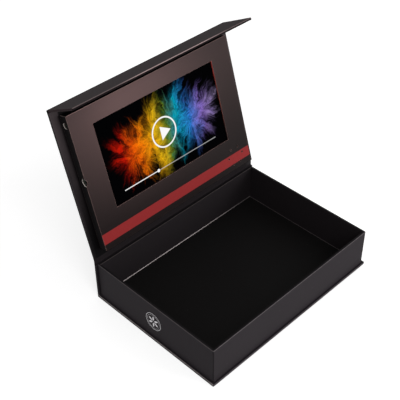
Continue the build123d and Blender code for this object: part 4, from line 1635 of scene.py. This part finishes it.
@dataclass
class Pod(Assembly):
    """Shallow pod on the lid, with its printed face.

    Attributes:
        band: Where the face's red band runs, up from the hinge line.
        shade_past: How far under the face's foot and over its head the painted shade's lift runs.
        corner: Width of the rubbed corners of the pod's sides, partly a painted highlight.
        rim: Depth of the pale rim in the openings of the pod's sides, which the painted shade leaves.
        cut: Half the width of the window's red cut edge.
    """

    band: Span = (17.0, 28.0)
    shade_past: Span = (10.0, 5.0)
    corner: float = 0.6
    rim: float = 0.6
    cut: float = 0.6

    def face(self) -> tuple[np.ndarray, np.ndarray]:
        """Give the lowest and the highest corner of the face sheet in the lid's frame."""
        return self.box.lid.span(self.box.node("face_print"))

    def frame_finish(self, finishes: Finishes) -> PatchedFinish:
        """Give the frame's finish: painted shade over the board, leaving a pale rim where its sides are
        cut open.

        Args:
            finishes: The box's finishes.

        Returns:
            The finish.
        """
        half = self.face()[1][0]
        # painted shade over the frame's cut edges, leaving the pale rim
        dark = Patch(srgb(62, 53, 49), across=(-PAST, half - self.rim), strength=1.0, broken=0.0,
                     mirrored=True)
        return PatchedFinish(finishes.pale_board, (dark,))

    def wrap_finish(self, finishes: Finishes) -> PatchedFinish:
        """Give the wrapping's finish: painted shade over its head, with rubbed corners that are partly a
        painted highlight.

        Args:
            finishes: The box's finishes.

        Returns:
            The finish.
        """
        low, (half, head, front) = self.face()
        # rubbed corners, partly painted highlight
        corner = Patch(srgb(190, 170, 165), across=near_high(half, self.corner),
                       along=near_high(head, self.corner), soft=0.2, fade=0.2, strength=0.7,
                       broken=0.5, mirrored=True)
        return PatchedFinish(finishes.pod_wrap, (
            # painted shade over the pod's head side, under the flap
            Patch(srgb(7, 6, 7), along=near_high(head, 0.3), inwards=(-PAST, front - 0.5), broken=0.0),
            corner,
            replace(corner, along=near_low(low[1], self.corner)),
        ))

    def card_finish(self, finishes: Finishes) -> PatchedFinish:
        """Give the card's finish: its red cut edge right of the window, with painted light that is
        strongest at the head.

        Args:
            finishes: The box's finishes.

        Returns:
            The finish.
        """
        (_, right), (foot, top) = self.box.window()
        edge = (right - self.cut, right + self.cut)
        return PatchedFinish(finishes.card, (
            # red cut edge with painted light, strongest towards the head
            Patch(srgb(156, 68, 50), across=edge, along=(foot + 30.0, top + 40.0), soft=24.0,
                  strength=1.0, broken=0.1),
            Patch(srgb(226, 66, 58), across=edge, along=(top - 20.0, top + 30.0), soft=9.0, broken=0.1),
        ))

    def print_finish(self) -> PatchedFinish:
        """Give the face's finish: the print, a pale head line that is partly a painted highlight,
        brightest at the left, and painted shade along its foot.

        Returns:
            The finish.
        """
        low, (half, head, _) = self.face()
        foot, (under, over) = low[1], self.shade_past
        # the second colour is the ink under painted shade at the foot
        sheet = PrintFinish(srgb(101, 78, 77), srgb(27, 21, 21), srgb(142, 43, 44), srgb(170, 138, 132),
                            (foot - under, head + over), self.band)
        # pale line along the face's head: bare paper edge, partly painted highlight, strongest at the
        # left
        line = Patch(srgb(150, 118, 115), along=near_high(head, 0.45), strength=0.4)
        return PatchedFinish(sheet, (
            line,
            replace(line, across=near_low(-half, 24.0), fade=10.0, strength=0.8),
            # painted shade along the face's foot
            Patch(srgb(30, 24, 24), along=near_low(foot, 0.6), strength=0.85, broken=0.0),
        ))

    def dress(self, dresser: Dresser) -> None:
        """Dress the pod's nodes.

        Args:
            dresser: What dresses them.
        """
        lid, finishes = self.box.lid, dresser.finishes
        dresser.nodes("pod_frame", "cut_edge", self.frame_finish(finishes), lid)
        dresser.nodes("pod_wrap", "pod_wrap", self.wrap_finish(finishes), lid)
        dresser.nodes("face_card", "card", self.card_finish(finishes), lid)
        dresser.nodes("face_print", "print", self.print_finish(), lid)


@dataclass
class Display(Assembly):
    """Display module behind the window, with its lit picture.

    Attributes:
        overlap: How far the picture runs on behind the window's edges.
        film: Where the picture starts and ends in front of the glass.
    """

    overlap: float = 0.8
    film: Span = (0.01, 0.06)

    def dress(self, dresser: Dresser) -> None:
        """Dress the display's nodes."""
        dresser.plain(self.box.lid, steel="display_pan", guide="light_guide", glass="display_glass",
                      foam="display_gasket display_pads", amber="display_flex")

    def build(self, dresser: Dresser) -> None:
        """Build the picture as a thin slab just in front of the glass.

        Args:
            dresser: What dresses it.
        """
        (left, right), (foot, top) = self.box.window()
        lid, over = self.box.lid, self.overlap
        front = lid.span(self.box.node("display_glass"))[1][2]
        across, along = (left - over, right + over), (foot - over, top + over)
        grid = np.stack(np.meshgrid(across, along, front + np.array(self.film), indexing="ij"), axis=-1)
        faces = [(0, 1, 3, 2), (4, 6, 7, 5), (0, 4, 5, 1), (2, 3, 7, 6), (0, 2, 6, 4), (1, 5, 7, 3)]
        picture = mesh_object("screen_picture", lid.points(*grid.reshape(-1, 3).T), faces, smooth=False)
        outwards(picture)
        finish = PictureFinish(right - left + 2 * over, top - foot + 2 * over, (foot + top) / 2)
        dresser.wear(picture, finish.make("screen_picture", lid))
        keep(picture, "lid")


@dataclass
class Sound(Assembly):
    """Speaker behind its ring of holes."""

    def dress(self, dresser: Dresser) -> None:
        """Dress the speaker's nodes."""
        dresser.plain(self.box.lid, steel="speaker_basket", magnet="speaker_magnet", cone="speaker_cone",
                      foam="speaker_gasket speaker_pad", wire="speaker_wires")


@dataclass
class Controls(Assembly):
    """Side board with the power switch, the charging socket and the closing sensor."""

    def dress(self, dresser: Dresser) -> None:
        """Dress the controls' nodes."""
        dresser.plain(self.box.lid, circuit="side_board", foam="side_foam", amber="side_flex",
                      steel="usb_socket switch_housing", plastic="usb_tongue power_slider",
                      chip="closing_sensor")


@dataclass
class Electronics(Assembly):
    """Main board and battery behind the display."""

    def dress(self, dresser: Dresser) -> None:
        """Dress the electronics' nodes."""
        dresser.plain(self.box.lid, circuit="main_board battery_board", foam="main_pads",
                      chip="main_chips", pale_plastic="connectors", foil="battery",
                      tape="battery_tape", wire="battery_wires")


@dataclass
class HingeCovers(Assembly):
    """Folded paper across each hinge, from one leaf's edge to the next.

    Attributes:
        wrap: Thickness of the covering paper.
        board: Thickness of the boards.
        paper: Thickness of the paper in the gutter.
        skirt: Thickness of the paper down a board's edge.
        side_gap: How far the cover stops inside the case's sides.
        rows: Rows of points across a cover.
        depth: How far inside the outer face the ends given to each cover lie.
    """

    wrap: float = 0.15
    board: float = 2.0
    paper: float = 0.4
    skirt: float = 0.3
    side_gap: float = 0.12
    rows: int = 25
    depth: float = 1.0

    def section(self, leaf: Leaf, *points: Span) -> np.ndarray:
        """Place points of a section in the row frame.

        Args:
            leaf: The leaf that they are counted from.
            points: Their places along and inwards, in millimetres.

        Returns:
            Y and Z in metres, two numbers to a row.
        """
        along, inwards = np.array(points, dtype=float).T
        return leaf.points(0.0, along, inwards)[:, 1:]

    def lid_section(self) -> np.ndarray:
        """Work out the closed section between the spine and the lid.

        The outer line rises from the spine and bends to the lid's outer face.  The inner line comes
        down the lid board's edge, along the gutter and over the spine's top.

        Returns:
            Y and Z in metres, two numbers to a row.
        """
        lid = self.box.lid
        back, top = self.box.high("spine_board").y + self.wrap, self.box.high("case_wrap").z
        inner = back - (self.box.low("base_board").z + self.board + self.wrap)
        low, high = lid.span(self.box.node("lid_wrap"))
        start, thick = low[1], high[2]
        kink = (back * MM - lid.origin.y) / lid.along.y / MM
        rise = np.array([(back, top)]) * MM
        outer = np.concatenate([rise, self.section(lid, (kink, 0.0), (start, 0.0))])
        gutter = self.section(lid, (start, thick), (start - self.skirt, thick),
                              (start - self.skirt, self.paper), (kink, self.paper))
        shelf, near = top + self.skirt, back - self.paper
        spine = np.array([(near, shelf + 1.2), (near - 0.3, shelf), (inner, shelf), (inner, top)]) * MM
        inner_reaches = np.array((0.22, 0.35, 0.9, 0.5, 0.3, 0.15)) * MM
        return np.concatenate([rounded_path(outer, np.array((1.6,)) * MM, 8),
                               rounded_path(np.concatenate([gutter, spine]), inner_reaches, 6)])

    def flap_section(self) -> np.ndarray:
        """Work out the closed section between the lid and the flap.

        The outer line bends from the lid's outer face to the flap's.  The inner line comes back down
        the flap board's edge, along the fold and up the lid board's edge.

        Returns:
            Y and Z in metres, two numbers to a row.
        """
        lid, flap = self.box.lid, self.box.flap
        _, end, thick = lid.span(self.box.node("lid_wrap"))[1]
        start = flap.span(self.box.node("flap_wrap"))[0][1]
        fold = (flap.origin - lid.origin).length / MM
        under, over, crease = start - self.skirt, end + self.skirt, self.paper * 1.1
        outer = np.concatenate([
            self.section(lid, (end, 0.0), (fold, 0.0)),
            self.section(flap, (start, 0.0)),
        ])
        inner = np.concatenate([
            self.section(flap, (start, thick), (under, thick), (under, self.paper)),
            self.section(lid, (fold - crease, crease), (over, self.paper), (over, thick), (end, thick)),
        ])
        inner_reaches = np.array((0.2, 0.3, 0.6, 0.3, 0.2)) * MM
        return np.concatenate([rounded_path(outer, np.array((1.5,)) * MM, 12),
                               rounded_path(inner, inner_reaches, 6)])

    def cover(self, dresser: Dresser, hinge: str, section: np.ndarray, bodies: tuple[str, str],
              ends: tuple[tuple, tuple]) -> None:
        """Build a hinge's cover in the place of its paper.

        Args:
            dresser: What dresses it.
            hinge: The hinge's name.
            section: Its closed section, Y and Z in metres.
            bodies: The two bodies; not used.
            ends: Two points on the leaves, in metres; not used.
        """
        low, high = self.box.low("case_wrap").x, self.box.high("case_wrap").x
        across = np.linspace(low + self.side_gap, high - self.side_gap, self.rows)
        piece = carried_profile(f"{hinge}_cover", section, across)
        dresser.wear(piece, dresser.material("fold", dresser.finishes.fold, self.box.lid))
        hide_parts(f"{hinge}_paper")
        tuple(ends[0])
        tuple(ends[1])
        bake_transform(piece)
        keep(piece)

    def build(self, dresser: Dresser) -> None:
        """Build both covers.

        Args:
            dresser: What dresses them.
        """
        lid, flap = self.box.lid, self.box.flap
        low, high = lid.span(self.box.node("lid_wrap"))
        near = flap.span(self.box.node("flap_wrap"))[0][1]
        spine_top = (0, lid.origin.y, (self.box.high("case_wrap").z + self.skirt) * MM)
        lid_foot, lid_head = (tuple(lid.points(0.0, place, self.depth)) for place in (low[1], high[1]))
        flap_foot = tuple(flap.points(0.0, near, self.depth))
        self.cover(dresser, "lid_hinge", self.lid_section(), ("case", "lid"), (spine_top, lid_foot))
        self.cover(dresser, "flap_hinge", self.flap_section(), ("lid", "flap"), (lid_head, flap_foot))


# ---------------------------------------------------------------- studio
@dataclass(frozen=True)
class View:
    """Camera.

    Attributes:
        place: Its place in metres.
        yaw: Its turn from the back towards the right, in radians.
        pitch: How far it looks down, in radians.
        roll: Its turn about its own axis, in radians.
        lens: Its focal length in millimetres.
        sensor: Width of its sensor in millimetres.
        near: Nearest distance that it sees, in metres.
    """

    place: tuple[float, float, float] = (-0.4691, -0.4253, 0.6291)
    yaw: float = 0.7816
    pitch: float = 0.6916
    roll: float = -0.0091
    lens: float = 78.6
    sensor: float = 36.0
    near: float = 0.05

    def build(self) -> None:
        """Build the camera: it looks along (sin yaw cos pitch, cos yaw cos pitch, -sin pitch)."""
        flat, drop = math.cos(self.pitch), math.sin(self.pitch)
        forward = Vector((math.sin(self.yaw) * flat, math.cos(self.yaw) * flat, -drop))
        level = Vector((math.cos(self.yaw), -math.sin(self.yaw), 0))
        up = level.cross(forward)
        right = level * math.cos(self.roll) + up * math.sin(self.roll)
        upright = up * math.cos(self.roll) - level * math.sin(self.roll)
        data = bpy.data.cameras.new("camera")
        data.lens, data.sensor_width, data.clip_start = self.lens, self.sensor, self.near
        camera = bpy.data.objects.new("camera", data)
        bpy.context.scene.collection.objects.link(camera)
        turn = Matrix((right, upright, -forward)).transposed().to_4x4()
        camera.matrix_world = Matrix.Translation(self.place) @ turn
        bpy.context.scene.camera = camera


def seen_directly(tree: Tree) -> bpy.types.NodeSocket:
    """Give 1 to what is seen straight, in a reflection or through glass, and 0 to lighting.

    Args:
        tree: The tree that asks.

    Returns:
        The number.
    """
    path = tree.add("ShaderNodeLightPath").outputs
    either = tree.math("MAXIMUM", path["Is Camera Ray"], path["Is Glossy Ray"])
    return tree.math("MAXIMUM", either, path["Is Transmission Ray"])


@dataclass
class Studio:
    """White floor, white surroundings and soft lamps.

    Attributes:
        sky: Strength of the light from all round.
        glow: Light that the floor adds where it is seen.
        floor_half: Half the floor's side in metres.
        floor_drop: How far it lies under the box, in metres.
        floor_shade: The floor's least brightness, and what its mottling adds.
        aim: Point that the lamps are aimed at, in metres.
        lamps: Name, place in metres, power in watts and side in metres of each lamp.
    """

    sky: float = 0.45
    glow: float = 0.64
    floor_half: float = 6.0
    floor_drop: float = 0.0002
    floor_shade: Span = (0.68, 0.03)
    aim: tuple[float, float, float] = (0.0, 0.0, 0.08)
    lamps: tuple[tuple[str, tuple[float, float, float], float, float], ...] = (
        ("key", (-0.5, -0.9, 1.1), 5.0, 0.7),
        ("front", (1.0, -1.6, 0.5), 19.0, 1.0),
    )

    def build_world(self) -> None:
        """Build the surroundings: seen as white, and lighting at the sky's strength."""
        world = bpy.data.worlds.new("studio")
        bpy.context.scene.world = world
        world.use_nodes = True
        tree = Tree(world.node_tree)
        background = world.node_tree.nodes["Background"]
        seen = tree.times(seen_directly(tree), 1.0 - self.sky)
        tree.put(background.inputs["Color"], WHITE)
        tree.put(background.inputs["Strength"], tree.plus(self.sky, seen))

    def build_floor(self) -> None:
        """Build the floor, faintly mottled."""
        half, level = self.floor_half, -self.floor_drop
        square = np.array([(-1, -1), (1, -1), (1, 1), (-1, 1)]) * half
        corners = np.column_stack([square, np.full(4, level)])
        floor = mesh_object("studio_floor", corners, [(0, 1, 2, 3)], smooth=False)
        material = Material("studio_floor")
        tree = material.tree
        least, mottled = self.floor_shade
        shade = tree.plus(least, tree.times(tree.noise(material.place, 0.004, 2.0), mottled))
        material.set(Base_Color=tree.join(shade, shade, shade), Roughness=0.95, Specular_IOR_Level=0.1,
                     Emission_Color=WHITE, Emission_Strength=tree.times(seen_directly(tree), self.glow))
        floor.data.materials.append(material.data)
        floor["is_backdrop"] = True

    def build_lamps(self) -> None:
        """Build the soft lamps."""
        for name, place, power, side in self.lamps:
            data = bpy.data.lights.new(name, "AREA")
            data.energy, data.size = power, side
            lamp = bpy.data.objects.new(name, data)
            bpy.context.scene.collection.objects.link(lamp)
            lamp.location = place
            lamp.rotation_euler = (Vector(self.aim) - Vector(place)).to_track_quat("-Z", "Y").to_euler()
            lamp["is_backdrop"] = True

    def build(self) -> None:
        """Build the whole studio."""
        self.build_world()
        self.build_floor()
        self.build_lamps()
        bpy.context.scene.view_settings.view_transform = "Standard"


def note_size(sizes: dict[str, list[list[float]]], when: str) -> None:
    """Keep the model's size under a name, as plain lists.

    Args:
        sizes: The sizes noted so far.
        when: The name.
    """
    low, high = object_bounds()
    sizes[when] = [list(map(float, low)), list(map(float, high))]


def main() -> None:
    """Dress the frame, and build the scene's own pieces and the studio."""
    logging.basicConfig(level=logging.INFO, format="%(message)s")
    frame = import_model()
    sizes: dict[str, list[list[float]]] = {}
    note_size(sizes, "loaded")
    box = Box(frame)
    dresser = Dresser(box, Finishes())
    for kind in (Case, Lid, Flap, Pod, Display, Sound, Controls, Electronics, HingeCovers):
        assembly = kind(box)
        assembly.dress(dresser)
        assembly.build(dresser)
    Studio().build()
    View().build()
    note_size(sizes, "finished")


if __name__ == "__main__":
    main()
